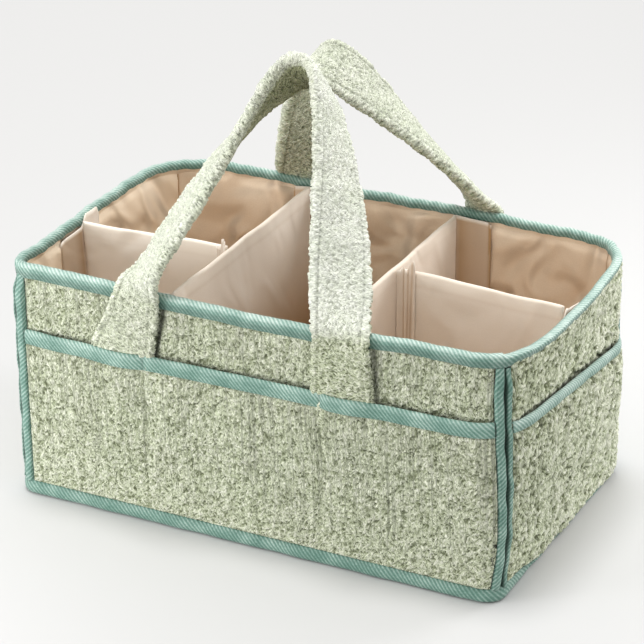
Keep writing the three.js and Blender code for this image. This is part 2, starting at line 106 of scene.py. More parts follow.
area_lamp("side_lamp", (-0.5, -0.62, 0.2), (-0.1, 0, 0.1), 0.35, 2.9)
area_lamp("right_lamp", (0.45, 0.45, 0.42), (0, 0, 0.12), 0.3, 1.7)
bpy.ops.object.light_add(type="SUN", location=(-0.2, -0.2, 2))
top_panel = bpy.context.object
top_panel.name = "top_panel"
top_panel.data.energy = 1.8
top_panel.data.angle = math.radians(16)
top_panel.rotation_euler = Vector((0.10, -0.05, -1)).to_track_quat("-Z", "Y").to_euler()

# %% [markdown]
# ## Tub plan
# Every wall piece follows the same plan: a rectangle whose four corners are rounded, each by its own radius, and
# whose ends flare a little towards the rim. `wall_places` gives the points of a wall by how far along it and how
# high they are, with the direction that points out of the tub there.

# %% Sizes of the tub
RIM_LENGTH, BASE_LENGTH, DEPTH, HEIGHT = 383 * MM, 372 * MM, 230 * MM, 181 * MM
RIM_SHIFT, BASE_SHIFT = -1.5 * MM, -3 * MM
RIM_CORNER = {"front_left": 13 * MM, "front_right": 32 * MM, "back_right": 43 * MM, "back_left": 52 * MM}
BASE_CORNER = {"front_left": 11 * MM, "front_right": 12 * MM, "back_right": 22 * MM, "back_left": 30 * MM}
CORNER_SIDE = {"front_left": (-1, -1), "front_right": (1, -1), "back_right": (1, 1), "back_left": (-1, 1)}
WALLS = {
    "front": ("front_left", "front_right", -math.pi / 2),
    "right_end": ("front_right", "back_right", 0.0),
    "back": ("back_right", "back_left", math.pi / 2),
    "left_end": ("back_left", "front_left", math.pi),
}
WALL = 7.1 * MM
SEAM_TRIM = {wall: (8.3 * MM, 8.3 * MM) for wall in WALLS}
SEAM_TRIM["front"], SEAM_TRIM["right_end"] = (8.3 * MM, 7.4 * MM), (5.2 * MM, 8.3 * MM)


def smooth(x):
    """A soft step: 0 up to x = 0, and 1 from x = 1 on."""
    x = np.clip(x, 0, 1)
    return x * x * (3 - 2 * x)


def step(x, start, over):
    """A soft step at a place given in millimetres: 0 up to start, and 1 from start + over on."""
    return smooth((x / MM - start) / over)


def bell(x, width, power=2):
    """1 where x is 0, and next to nothing two widths away."""
    return np.exp(-((x / width) ** power))


def between(low, high, share):
    """The value at a share of the way from low to high."""
    return low + (high - low) * share


def eased(x, knots, values):
    """Values at the knots, in millimetres, with soft steps between them."""
    x, knots, values = np.clip(x / MM, knots[0], knots[-1]), np.array(knots, float), np.array(values, float)
    k = np.clip(np.searchsorted(knots, x, side="right") - 1, 0, len(knots) - 2)
    return between(values[k], values[k + 1], smooth((x - knots[k]) / (knots[k + 1] - knots[k]))) * MM


def half_length(z):
    return between(BASE_LENGTH, RIM_LENGTH, z / HEIGHT) / 2


def mid_line(z):
    return between(BASE_SHIFT, RIM_SHIFT, z / HEIGHT)


def corner_radius(corner, z):
    return between(BASE_CORNER[corner], RIM_CORNER[corner], z / HEIGHT)


def seam_angle(corner, z):
    """Where a corner's upright seam stands, in radians round the corner. The front right one swings with height."""
    if corner != "front_right":
        return np.full_like(z, math.pi / 4)
    return np.radians(49 + 30 * (1 - step(z, 0, 165)) - 12 * (1 - step(z, 0, 45)))


def corner_place(corner, angle, z):
    radius = corner_radius(corner, z)
    side_x, side_y = CORNER_SIDE[corner]
    x = mid_line(z) + side_x * (half_length(z) - radius) + radius * np.cos(angle)
    y = side_y * (DEPTH / 2 - radius) + radius * np.sin(angle)
    return np.stack([x, y, z], -1)


# %% [markdown]
# A sewn rim is never quite level: on this caddy it rises a little at the front right corner, sags along the front
# and the right end, and leans out in the middle of the right end. Those few millimetres are eased in near the top.

# %% Points on a wall
RIM_LIFT = {
    "front": ([-193, -150, -60, 0, 45, 85, 125, 165, 193], [0.0, 0.3, -1.5, -2.2, -1.4, 2.0, 3.6, 3.8, 3.0]),
    "right_end": ([-115, -95, -70, -35, 5, 50, 90, 115], [3.0, 1.8, -1.0, -2.6, -3.0, -2.2, -0.4, 0.0]),
    "back": ([-193, -120, -40, 60, 140, 193], [0.0, 0.6, -0.5, 0.5, -0.6, 0.0]),
    "left_end": ([-115, -60, 0, 60, 115], [0.0, -0.6, 0.5, -0.5, 0.0]),
}


def near_rim(z):
    return step(z, 142, 38)


def end_lean(wall, y, z):
    """How far the right end leans out near the rim."""
    if wall != "right_end":
        return np.zeros_like(z)
    return eased(y, [-95, -50, 20, 65, 100], [0, 4.0, 4.0, 1.5, -0.5]) * near_rim(z)


def wall_places(wall, share, z, trim=(0.0, 0.0)):
    """Points, outward directions, travel along the wall and the wall's length, for shares of the wall and heights."""
    first, last, facing = WALLS[wall]
    share, z = np.broadcast_arrays(np.asarray(share, float), np.asarray(z, float))
    r_first, r_last = corner_radius(first, z), corner_radius(last, z)
    arc_first = r_first * (math.pi / 2 - seam_angle(first, z)) - trim[0]
    arc_last = r_last * seam_angle(last, z) - trim[1]
    span = 2 * half_length(z) if wall in ("front", "back") else np.full_like(z, DEPTH)
    flat = span - r_first - r_last
    whole = arc_first + flat + arc_last
    travel = share * whole
    before, after = np.minimum(travel - arc_first, 0), np.maximum(travel - arc_first - flat, 0)
    angle = facing + before / r_first + after / r_last
    mix = np.clip((travel - arc_first) / flat, 0, 1)[..., None]
    places = corner_place(first, angle, z) * (1 - mix) + corner_place(last, angle, z) * mix
    out = np.stack([np.cos(angle), np.sin(angle), np.zeros_like(angle)], -1)
    place = places[..., 0] if wall in ("front", "back") else places[..., 1]
    places += out * end_lean(wall, place, z)[..., None]
    places[..., 2] += eased(place, *RIM_LIFT[wall]) * near_rim(z)
    return places, out, travel, whole


def wall_length(wall, z, trim=(0.0, 0.0)):
    """A wall's length at one height, between its seams or its trimmed ends."""
    return float(wall_places(wall, 0.0, z, trim)[3])


def pushed(places, way, far):
    """Places moved along directions by distances."""
    return places + way * far[..., None]


def ripple(x, waves, seed):
    """A gentle unevenness: a few sine waves of the given lengths and heights in millimetres, with seeded phases."""
    phases = np.random.default_rng(seed).uniform(0, 2 * math.pi, len(waves))
    return sum(tall * MM * np.sin(2 * math.pi * x / (long * MM) + p) for (long, tall), p in zip(waves, phases))


print("rim length", RIM_LENGTH, "depth", DEPTH, "height", HEIGHT)

# %% [markdown]
# ## Laying cloth on a grid
# By hand, a strip of cloth starts as a grid primitive that is bent to its place. `cloth_piece` does the same: it
# adds a grid, moves its points to an array of places (sections by steps along the path) and gives it a UV map in
# real metres, so that a weave keeps its size. The seam where the grid meets itself is merged, and open ends filled.

# %% Grid to cloth
def wrap(rows):
    """The same sections with the first one again at the end, so that the grid meets itself."""
    return np.concatenate([rows, rows[:1]])


def lengths_round(places):
    """Distance round the section of each point, from the first section."""
    steps = np.linalg.norm(np.diff(places, axis=0), axis=-1)
    return np.concatenate([np.zeros_like(steps[:1]), np.cumsum(steps, axis=0)])


def cloth_piece(name, places, along, around=None, scale=1.0, closed=True, **marks):
    """A cloth object on an array of places. along and around are its UV; the marks become attributes of its points."""
    sized = {mark: np.broadcast_to(values, places.shape[:2]) for mark, values in {"along": along, **marks}.items()}
    if closed:
        places, sized = wrap(places), {mark: wrap(values) for mark, values in sized.items()}
    along = sized.pop("along")
    around = np.broadcast_to(lengths_round(places) * scale if around is None else around, along.shape)
    rows, columns = along.shape
    bpy.ops.object.select_all(action="DESELECT")
    bpy.ops.mesh.primitive_grid_add(x_subdivisions=columns - 1, y_subdivisions=rows - 1)
    piece = bpy.context.object
    piece.name = piece.data.name = name
    mesh = piece.data
    mesh.vertices.foreach_set("co", places.astype(np.float32).ravel())
    corners = np.empty(len(mesh.loops), np.int32)
    mesh.loops.foreach_get("vertex_index", corners)
    uv = np.stack([along.ravel()[corners], around.ravel()[corners]], -1)
    mesh.uv_layers.active.data.foreach_set("uv", uv.astype(np.float32).ravel())
    for mark, values in sized.items():
        attribute = mesh.attributes.new(mark, "FLOAT", "POINT")
        attribute.data.foreach_set("value", values.astype(np.float32).ravel())
    bpy.ops.object.mode_set(mode="EDIT")
    bpy.ops.mesh.select_all(action="SELECT")
    bpy.ops.mesh.remove_doubles(threshold=1e-6)
    bpy.ops.mesh.fill_holes(sides=0)
    bpy.ops.object.mode_set(mode="OBJECT")
    bpy.ops.object.shade_smooth()
    return piece


def dress(piece, finish, body, slot, *nodes):
    """Gives a piece its finish, hides the CAD nodes it stands for and attaches it to the body it rides on. slot is not
    used.
    """
    piece.data.materials.clear()
    piece.data.materials.append(finish)
    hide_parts(*nodes)
    if body:
        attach(piece, body)
    print(piece.name, len(piece.data.polygons), "faces")


# %% [markdown]
# ## Boucle swatch
# Boucle is woven with a looped yarn, so its face is a crowd of short curls that lie every way, with dark hollows
# between them. A swatch of it is drawn once as a height map: each curl is a bent worm of yarn, and where two cross,
# the higher one shows. Every boucle piece then takes its pile from the swatch, point by point. In the photograph the
# right end shows a coarser and taller pile than the front, darker near the front corner, so there the swatch is
# stretched both ways and stands taller, and the pile is painted darker towards that corner as painted shade.

# %% Draw the swatch
SWATCH, SWATCH_CELL = 150 * MM, 0.25 * MM
CURL_COUNT, CURL_STEPS = 12000, 9


def draw_swatch(seed):
    dice = np.random.default_rng(seed)
    size = int(round(SWATCH / SWATCH_CELL))
    heading = dice.uniform(0, 2 * math.pi, CURL_COUNT)
    bend = dice.uniform(-0.55, 0.55, CURL_COUNT) / MM
    length = dice.uniform(1.8, 3.6, CURL_COUNT) * MM
    thick = dice.uniform(0.45, 0.66, CURL_COUNT) * MM
    lift = dice.uniform(0.0, 1.0, CURL_COUNT) ** 1.2 * 0.8 * MM
    tone = dice.uniform(0, 1, CURL_COUNT)
    x, y = dice.uniform(0, SWATCH, (2, CURL_COUNT))
    reach = np.arange(-3, 4)
    window_x, window_y = (a.ravel() for a in np.meshgrid(reach, reach))
    cells, values, tones = [], [], []
    for k in range(CURL_STEPS):
        t = k / (CURL_STEPS - 1)
        z = lift + 0.3 * MM * math.sin(math.pi * t)
        column = np.round(x / SWATCH_CELL)[:, None] + window_x
        row = np.round(y / SWATCH_CELL)[:, None] + window_y
        d2 = (column * SWATCH_CELL - x[:, None]) ** 2 + (row * SWATCH_CELL - y[:, None]) ** 2
        inside = d2 < thick[:, None] ** 2
        tall = z[:, None] + np.sqrt(np.maximum(thick[:, None] ** 2 - d2, 0))
        cell = (row.astype(int) % size) * size + column.astype(int) % size
        cells.append(cell[inside])
        values.append(tall[inside])
        tones.append(np.broadcast_to(tone[:, None], tall.shape)[inside])
        turn = heading + bend * length * (t - 0.5)
        x = x + np.cos(turn) * length / (CURL_STEPS - 1)
        y = y + np.sin(turn) * length / (CURL_STEPS - 1)
    cells, values, tones = (np.concatenate(a) for a in (cells, values, tones))
    order = np.argsort(values, kind="stable")
    height, shade = np.zeros(size * size), np.full(size * size, 0.3)
    height[cells[order]] = values[order]
    shade[cells[order]] = tones[order]
    return height.reshape(size, size), shade.reshape(size, size)


swatch_height, swatch_tone = draw_swatch(11)
print("swatch: mean pile", round(swatch_height.mean() / MM, 2), "mm, highest", round(swatch_height.max() / MM, 2))

# %% Take pile from the swatch
PILE_TOP, PILE_MIDDLE = 1.6 * MM, 0.45
SHIFT_ALONG, SHIFT_ACROSS = 37 * MM, 61 * MM
CELL = 0.75 * MM
LOOSE = {"front": (0.85, 1.0), "right_end": (0.5, 0.6), "back": (0.85, 1.0), "left_end": (0.85, 1.0)}
TALL = {"front": 1.1, "right_end": 1.8, "back": 1.1, "left_end": 1.1}
# Painted shade on the right end's pile, at its first corner and at its last.
PAINTED_END_SHADE = {"right_end": (0.45, 0.0)}


def pile_at(along, across, shift):
    """Height of the pile in metres, and the tone of its curl, at cloth coordinates in metres."""
    size = swatch_height.shape[0]
    u = (along + shift * SHIFT_ALONG) / SWATCH_CELL
    v = (across + shift * SHIFT_ACROSS) / SWATCH_CELL
    i, j = np.floor(u).astype(int), np.floor(v).astype(int)
    a, b = u - i, v - j
    i0, i1, j0, j1 = i % size, (i + 1) % size, j % size, (j + 1) % size
    height = (swatch_height[j0, i0] * (1 - a) * (1 - b) + swatch_height[j0, i1] * a * (1 - b)
              + swatch_height[j1, i0] * (1 - a) * b + swatch_height[j1, i1] * a * b)
    return height, swatch_tone[j0, i0]


def painted_end_shade(wall, share):
    """How far a wall's pile is darkened by painted shade, from its first corner to its last."""
    return between(*PAINTED_END_SHADE.get(wall, (0.0, 0.0)), share)


# %% [markdown]
# ## Finishes
# Cloth is rough and a little fuzzy, so every finish is a Principled shader with high roughness, and most have some
# sheen. What differs is the surface: the boucle takes its colour from the pile (pale yarn, with painted shade in the
# olive hollows), the tape has diagonal twill ribs, and lining and dividers have a plain weave. Weaves are node groups
# that read the UV map.

# %% Node helpers
def node(tree, kind, **values):
    """A new node, set out in rows of seven; the values set its inputs or its properties."""
    made = tree.nodes.new(kind)
    count = len(tree.nodes)
    made.location = (-1800 + 200 * (count % 7), 600 - 300 * (count // 7))
    for key, value in values.items():
        if key in made.inputs:
            made.inputs[key].default_value = value
        else:
            setattr(made, key, value)
    return made


def math_node(tree, operation, *inputs):
    made = node(tree, "ShaderNodeMath", operation=operation)
    for socket, value in zip(made.inputs, inputs):
        if isinstance(value, (int, float)):
            socket.default_value = value
        else:
            tree.links.new(value, socket)
    return made.outputs[0]


def weighted(tree, *pairs):
    """The sum of values, each times its weight."""
    parts = [math_node(tree, "MULTIPLY", value, weight) for value, weight in pairs]
    total = parts[0]
    for part in parts[1:]:
        total = math_node(tree, "ADD", total, part)
    return total


def noise(tree, vector, **values):
    made = node(tree, "ShaderNodeTexNoise", **values)
    tree.links.new(vector, made.inputs["Vector"])
    return made.outputs["Fac"]


def stretched(tree, vector, **values):
    """Coordinates turned and stretched, so that a pattern of size 1 takes the sizes given as Scale."""
    made = node(tree, "ShaderNodeMapping", vector_type="TEXTURE", **values)
    tree.links.new(vector, made.inputs["Vector"])
    return made.outputs[0]


def new_group(name, inputs, outputs):
    """A node group that takes a UV vector and the named sizes, and gives the named values."""
    group = bpy.data.node_groups.new(name, "ShaderNodeTree")
    group.interface.new_socket("UV", in_out="INPUT", socket_type="NodeSocketVector")
    for socket in inputs:
        group.interface.new_socket(socket, in_out="INPUT", socket_type="NodeSocketFloat")
    for socket in outputs:
        group.interface.new_socket(socket, in_out="OUTPUT", socket_type="NodeSocketFloat")
    return group, group.nodes.new("NodeGroupInput").outputs, group.nodes.new("NodeGroupOutput").inputs


# %% Weave groups
def make_weave_group():
    """Threads over and under: a height and a tone from UV metres."""
    group, given, result = new_group("plain_weave", ["Thread"], ["Height", "Tone"])
    split = node(group, "ShaderNodeSeparateXYZ")
    group.links.new(given["UV"], split.inputs[0])
    waves = []
    for way in split.outputs[:2]:
        turns = math_node(group, "MULTIPLY", math_node(group, "DIVIDE", way, given["Thread"]), math.pi)
        waves.append(math_node(group, "SINE", turns))
    group.links.new(math_node(group, "ABSOLUTE", math_node(group, "MULTIPLY", *waves)), result["Height"])
    group.links.new(noise(group, given["UV"], Scale=900.0, Detail=3.0), result["Tone"])
    return group


def make_twill_group():
    """Diagonal ribs: a height and a tone from UV metres."""
    group, given, result = new_group("twill", ["Rib"], ["Height", "Tone"])
    split = node(group, "ShaderNodeSeparateXYZ")
    group.links.new(given["UV"], split.inputs[0])
    leaning = math_node(group, "ADD", split.outputs[0], math_node(group, "MULTIPLY", split.outputs[1], 0.9))
    turns = math_node(group, "MULTIPLY", math_node(group, "DIVIDE", leaning, given["Rib"]), 2 * math.pi)
    tone = noise(group, given["UV"], Scale=700.0, Detail=4.0)
    wandering = math_node(group, "ADD", turns, math_node(group, "MULTIPLY", tone, 2.2))
    rib = math_node(group, "MULTIPLY_ADD", math_node(group, "SINE", wandering), 0.5, 0.5)
    group.links.new(rib, result["Height"])
    group.links.new(tone, result["Tone"])
    return group


plain_weave, twill = make_weave_group(), make_twill_group()


# %% Material helpers
def mask(tree, name):
    """A mark that the piece carries on its points, by name."""
    return node(tree, "ShaderNodeAttribute", attribute_name=name).outputs["Fac"]


def ramp(tree, factor, stops):
    made = node(tree, "ShaderNodeValToRGB")
    while len(made.color_ramp.elements) < len(stops):
        made.color_ramp.elements.new(0.5)
    for element, (position, colour) in zip(made.color_ramp.elements, stops):
        element.position = position
        element.color = (*colour, 1)
    tree.links.new(factor, made.inputs["Fac"])
    return made.outputs["Color"]


def cloth_material(name, sheen, roughness, shine=0.2):
    material = bpy.data.materials.new(name)
    material.use_nodes = True
    tree = material.node_tree
    shader = tree.nodes["Principled BSDF"]
    shader.inputs["Roughness"].default_value = roughness
    shader.inputs["Sheen Weight"].default_value = sheen
    shader.inputs["Sheen Roughness"].default_value = 0.5
    shader.inputs["Specular IOR Level"].default_value = shine
    place = node(tree, "ShaderNodeTexCoord")
    return material, tree, shader, place.outputs["UV"], place.outputs["Object"]


def bump(tree, shader, height, distance, strength=1.0, under=None):
    """A bump on the shader's normal; under is the normal of a wider bump below it."""
    made = node(tree, "ShaderNodeBump", Strength=strength, Distance=distance)
    tree.links.new(height, made.inputs["Height"])
    if under:
        tree.links.new(under, made.inputs["Normal"])
    tree.links.new(made.outputs[0], shader.inputs["Normal"])
    return made.outputs[0]


def mixed(tree, blend, factor, first, second):
    """A colour mix node: factor, first and second are sockets or values."""
    made = node(tree, "ShaderNodeMix", data_type="RGBA", blend_type=blend)
    for socket, value in ((made.inputs[0], factor), (made.inputs[6], first), (made.inputs[7], second)):
        if isinstance(value, bpy.types.NodeSocket):
            tree.links.new(value, socket)
        else:
            socket.default_value = (*value, 1) if isinstance(value, tuple) else value
    return made.outputs[2]


def weave_node(tree, group, uv, **sizes):
    made = node(tree, "ShaderNodeGroup", node_tree=group)
    for name, size in sizes.items():
        made.inputs[name].default_value = size
    tree.links.new(uv, made.inputs["UV"])
    return made.outputs


# %% [markdown]
# The mesh is too coarse for single yarns, so the boucle finish draws them: two crossed layers of stretched noise make
# short slanted strokes a millimetre wide, and a third, coarser layer gathers them into upright ridges. The pile's own
# height darkens the hollows under them, as painted shade.

# %% Yarn strokes
def make_stroke_group():
    """Short yarn strokes from UV metres: 0 between yarns, 1 on top of them."""
    group, given, result = new_group("yarn_strokes", [], ["Level"])
    layers = []
    for number, lean in enumerate((58, 118)):
        turned = stretched(group, given["UV"], Rotation=(0, 0, math.radians(lean)), Scale=(2.9 * MM, 1.05 * MM, 1),
                           Location=(0.37 * number, 0.61 * number, 0))
        layers.append(noise(group, turned, Scale=1.0, Detail=1.0, Roughness=0.5, Distortion=0.35))
    upper = math_node(group, "MULTIPLY_ADD", math_node(group, "MAXIMUM", *layers), 4.2, -1.9)
    gathered = stretched(group, given["UV"], Rotation=(0, 0, math.radians(76)), Scale=(8 * MM, 4.2 * MM, 1))
    clump = noise(group, gathered, Scale=1.0, Detail=1.0, Distortion=0.6)
    ridges = math_node(group, "MULTIPLY_ADD", clump, 1.5, -0.75)
    group.links.new(math_node(group, "ADD", upper, ridges), result["Level"])
    return group


yarn_strokes = make_stroke_group()


# %% Boucle finish
def make_boucle():
    material, tree, shader, uv, place = cloth_material("boucle_cloth", 0.2, 0.92)
    strokes = weave_node(tree, yarn_strokes, uv)["Level"]
    level = weighted(tree, (mask(tree, "pile"), 0.5), (strokes, 0.52))
    # The low end of this ramp is painted shade in the hollows; its high end is the yarn's own pale colour.
    yarn = ramp(tree, level, [(0.05, (0.19, 0.21, 0.12)), (0.35, (0.45, 0.485, 0.335)), (0.6, (0.68, 0.715, 0.545)),
                              (0.9, (0.91, 0.92, 0.79))])
    curl = ramp(tree, mask(tree, "tone"), [(0.0, (0.92, 0.94, 0.88)), (1.0, (1.0, 1.0, 1.0))])
    drift = noise(tree, place, Scale=45.0, Detail=2.0)
    patch = ramp(tree, drift, [(0.3, (0.93, 0.95, 0.91)), (0.7, (1.0, 1.0, 1.0))])
    # This mix paints light on the strap legs.
    lighter = mixed(tree, "MIX", mask(tree, "brushed"), yarn, (0.95, 0.96, 0.90))
    # This multiply paints shade on the strap's underside.
    shaded_underside = mixed(tree, "MULTIPLY", mask(tree, "ground"), lighter, (0.52, 0.51, 0.36))
    patched = mixed(tree, "MULTIPLY", 1.0, mixed(tree, "MULTIPLY", 1.0, shaded_underside, curl), patch)
    # The stitch mark darkens seams, and paints shadow beside the strap feet and above the pocket mouths.
    sewn = mixed(tree, "MIX", mask(tree, "stitch"), patched, (0.06, 0.068, 0.04))
    tree.links.new(sewn, shader.inputs["Base Color"])
    bump(tree, shader, strokes, 1.0 * MM, 0.9)
    return material


boucle_cloth = make_boucle()


# %% Tape finish
def make_tape():
    material, tree, shader, uv, place = cloth_material("twill_tape", 0.15, 0.55, 0.45)
    ribs = weave_node(tree, twill, uv, Rib=3.3 * MM)
    drift = noise(tree, place, Scale=60.0, Detail=3.0)
    uneven = weighted(tree, (ribs["Height"], 0.3), (ribs["Tone"], 0.4), (drift, 0.55))
    level = math_node(tree, "ADD", uneven, -0.125)
    thread = ramp(tree, level, [(0.2, (0.055, 0.15, 0.115)), (0.5, (0.145, 0.275, 0.225)), (0.8, (0.42, 0.56, 0.495))])
    # The pale mark paints a highlight on the tape's top fold, in these lighter colours.
    lit_thread = ramp(tree, level, [(0.25, (0.26, 0.43, 0.37)), (0.5, (0.60, 0.74, 0.68)), (0.75, (0.90, 0.95, 0.91))])
    highlighted = mixed(tree, "MIX", mask(tree, "pale"), thread, lit_thread)
    # The stitch mark darkens stitches, and paints shade low on the tape and in the corner grooves.
    sewn = mixed(tree, "MIX", mask(tree, "stitch"), highlighted, (0.018, 0.05, 0.035))
    tree.links.new(sewn, shader.inputs["Base Color"])
    bump(tree, shader, ribs["Height"], 0.24 * MM, 0.9)
    return material


twill_tape = make_tape()


# %% Woven finishes
def make_woven(name, dark, light, fold):
    """A plain weave between two colours. Its stitch mark darkens seams and paints shade; its pale mark lightens top
    edges and paints light.
    """
    material, tree, shader, uv, place = cloth_material(name, 0.1, 0.8)
    weave = weave_node(tree, plain_weave, uv, Thread=0.7 * MM)
    drift = noise(tree, place, Scale=28.0, Detail=3.0)
    cloth = ramp(tree, weighted(tree, (weave["Tone"], 0.5), (drift, 0.5)), [(0.3, dark), (0.7, light)])
    seam_and_shade_brown = tuple(c * share for c, share in zip(dark, (0.46, 0.27, 0.08)))
    pale_and_lit = tuple(min(1.0, c * 1.12) for c in light)
    # This mix darkens seams and hems, and paints shade on dividers, flaps, creases and the back lining.
    sewn = mixed(tree, "MIX", mask(tree, "stitch"), cloth, seam_and_shade_brown)
    # This mix paints light on the left lining and the long dividers, and lightens the top edges.
    tree.links.new(mixed(tree, "MIX", mask(tree, "pale"), sewn, pale_and_lit), shader.inputs["Base Color"])
    slanted = stretched(tree, place, Rotation=(0.5, 0.6, 0.9), Scale=(70 * MM, 30 * MM, 50 * MM))
    wide = bump(tree, shader, noise(tree, slanted, Scale=1.0, Detail=1.0, Distortion=0.8), fold)
    bump(tree, shader, weave["Height"], 0.15 * MM, 0.5, wide)
    return material


lining_cloth = make_woven("lining_cloth", (0.80, 0.625, 0.455), (0.90, 0.745, 0.575), 30 * MM)
divider_cloth = make_woven("divider_cloth", (0.83, 0.735, 0.64), (0.91, 0.825, 0.73), 6 * MM)


# %% Board finish
def make_board():
    material, tree, shader, _, place = cloth_material("foam_board", 0.0, 0.6)
    cells = node(tree, "ShaderNodeTexVoronoi", Scale=500.0)
    tree.links.new(place, cells.inputs["Vector"])
    foam = ramp(tree, cells.outputs["Distance"], [(0.0, (0.78, 0.77, 0.73)), (1.0, (0.66, 0.65, 0.61))])
    tree.links.new(foam, shader.inputs["Base Color"])
    bump(tree, shader, cells.outputs["Distance"], 0.1 * MM, 0.4)
    return material


foam_board = make_board()
boards = [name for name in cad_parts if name.endswith("_board")]
for name in boards:
    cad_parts[name].data.materials.clear()
    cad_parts[name].data.materials.append(foam_board)
print("boards left as CAD solids:", len(boards))

# %% [markdown]
# ## Outer panels
# Each wall is covered by a boucle panel that runs from the base seam to the rim and stops short of the corner
# seams. Only the band above the pocket shows, so the grid is fine there and coarse behind the pocket.

# %% Boucle on a wall
PANEL_SINK, PANEL_BACK, PANEL_TOP = 1.0 * MM, 2.8 * MM, HEIGHT - 2.2 * MM
COARSE_HEIGHTS, FINE_FROM = np.linspace(2, 92, 7) * MM, 98 * MM
BACK_HEIGHTS = np.array([172, 166, 160, 154, 148, 142, 100]) * MM
RIM_TAPE_DROP, TAPE_LAP, FADE = 10.7 * MM, 1.5 * MM, 2.5 * MM
PANEL_EDGE_PILE, GAP_SHADOW_WIDTH, MOUTH_SHADOW_WIDTH, MOUTH_BELOW = 0.25, 1.8 * MM, 2.4 * MM, 1.0 * MM
FOOT_GAP_SHADOWS = {"front": ((-79 * MM, -70 * MM, 1.0), (94.5 * MM, 90 * MM, 0.7))}
MOUTH_SHADOW = {"front": 0.4, "right_end": 0.9, "back": 0.4, "left_end": 0.4}
POCKET_TOP = {"front": (131, 136), "right_end": (134, 112), "back": (132, 132), "left_end": (132, 132)}


def rim_drop(wall, places):
    """How far the rim tape reaches down the outside: it is narrow round the right end."""
    if wall == "front":
        return eased(places[..., 0], [-190, 60, 115, 190], [10.7, 10.7, 8.6, 8.6])
    if wall == "right_end":
        return eased(places[..., 1], [-112, -90, 80, 105], [8.6, 4.8, 4.8, 10.7])
    return np.full(places.shape[:-1], RIM_TAPE_DROP)


def pocket_mouth(wall, share):
    """Height of a pocket's open edge at a share of the wall."""
    return between(*POCKET_TOP[wall], share) * MM


def backed(face, rows, value):
    """A face's marks, with rows of one value for the back of the cloth."""
    return np.concatenate([face, np.full((rows, face.shape[1]), value)])


def panel_piece(wall, shift):
    """A wall's panel, with painted shadow in the gap beside each strap foot and above the pocket's open mouth."""
    trim, (loose_along, loose_up), tall = SEAM_TRIM[wall], LOOSE[wall], TALL[wall]
    up = np.concatenate([COARSE_HEIGHTS, np.arange(FINE_FROM, PANEL_TOP, CELL)])
    share = np.linspace(0, 1, int(wall_length(wall, HEIGHT, trim) / CELL))
    z, s = np.meshgrid(up, share, indexing="ij")
    base, out, travel, whole = wall_places(wall, s, z, trim)
    height, tone = pile_at(travel * loose_along, z * loose_up, shift)
    flat_edge = smooth(np.minimum(travel, whole - travel) / FADE)
    under_tape = smooth((HEIGHT - rim_drop(wall, base) + TAPE_LAP - z) / FADE)
    soft = ripple(travel, [(63, 0.35), (37, 0.25)], shift)
    stand = -PANEL_SINK + height * between(PANEL_EDGE_PILE, tall, flat_edge * under_tape) + soft * under_tape
    zi, si = np.meshgrid(np.concatenate([up[-1:], BACK_HEIGHTS, up[:1]]), share, indexing="ij")
    base_i, out_i, travel_i, _ = wall_places(wall, si, zi, trim)
    # Painted shadow: dark lines beside each strap foot and just above the pocket's mouth.
    gap = np.zeros_like(z)
    for low, rim, dark in FOOT_GAP_SHADOWS.get(wall, ()):
        edge = between(low, rim, step(z, 110, 71)) + 0.8 * (height - 0.8 * MM)
        gap = np.maximum(gap, dark * bell(base[..., 0] - edge - 0.8 * MM, GAP_SHADOW_WIDTH, 4))
    mouth_shadow = bell(z - pocket_mouth(wall, s) + MOUTH_BELOW, MOUTH_SHADOW_WIDTH, 4) * MOUTH_SHADOW[wall] * flat_edge
    # The right end's pile is painted darker towards its front corner, as painted shade.
    pile = between(PILE_MIDDLE, height / PILE_TOP, tall) - painted_end_shade(wall, s)
    rows = len(zi)
    return cloth_piece(wall + "_boucle", np.concatenate([pushed(base, out, stand), base_i - out_i * PANEL_BACK]),
                       np.concatenate([travel, travel_i]) * loose_along, scale=loose_up, pile=backed(pile, rows, 0.3),
                       tone=backed(tone, rows, 0.5), stitch=backed(np.maximum(0.95 * gap, mouth_shadow), rows, 0.0))


# %% Cover the four walls
for number, wall in enumerate(WALLS):
    panel = panel_piece(wall, number + 1)
    dress(panel, boucle_cloth, "tub", "boucle", wall + "_panel")

# %% [markdown]
# ## Pockets
# A wide pocket panel is sewn over each wall along its sides and foot. Its mouth hangs a little slack, it swells over
# the strap ends that are tucked behind it, and on the front and the back two rows of stitches split it into three
# pockets.

# %% How a pocket hangs
POCKET_FOOT, POCKET_CLOTH, POCKET_LEAST = 10.8 * MM, 1.4 * MM, 0.5 * MM
POCKET_SLACK = {"front": 2.8 * MM, "right_end": 2.6 * MM, "back": 2.8 * MM, "left_end": 3.0 * MM}
POCKET_TAPE_DROP = {"front": 11.0 * MM, "right_end": 8.2 * MM, "back": 11.0 * MM, "left_end": 10.0 * MM}
FOOT_PLACES = {"front": (-104 * MM, 69 * MM), "back": (-76 * MM, 74 * MM)}
SEWN_LINES = {"front": (-84 * MM, 53 * MM), "back": (-55 * MM, 50 * MM)}
FOOT_ROOM, FOOT_HALF = 3.6 * MM, 34 * MM


def foot_share(wall, places):
    """How much of the base tape shows: on the right end it is turned under, and the pocket reaches to the floor."""
    if wall != "right_end":
        return np.ones(places.shape[:-1])
    return eased(places[..., 1], [-112, -85, -38, 85, 112], [1, 0.9, 0.2, 0.2, 1]) / MM


def sewn_at(wall, places, width):
    """1 on the stitches that split a wall's pocket, 0 away from them."""
    return sum((bell(places[..., 0] - line, width) for line in SEWN_LINES.get(wall, ())), np.zeros(places.shape[:-1]))


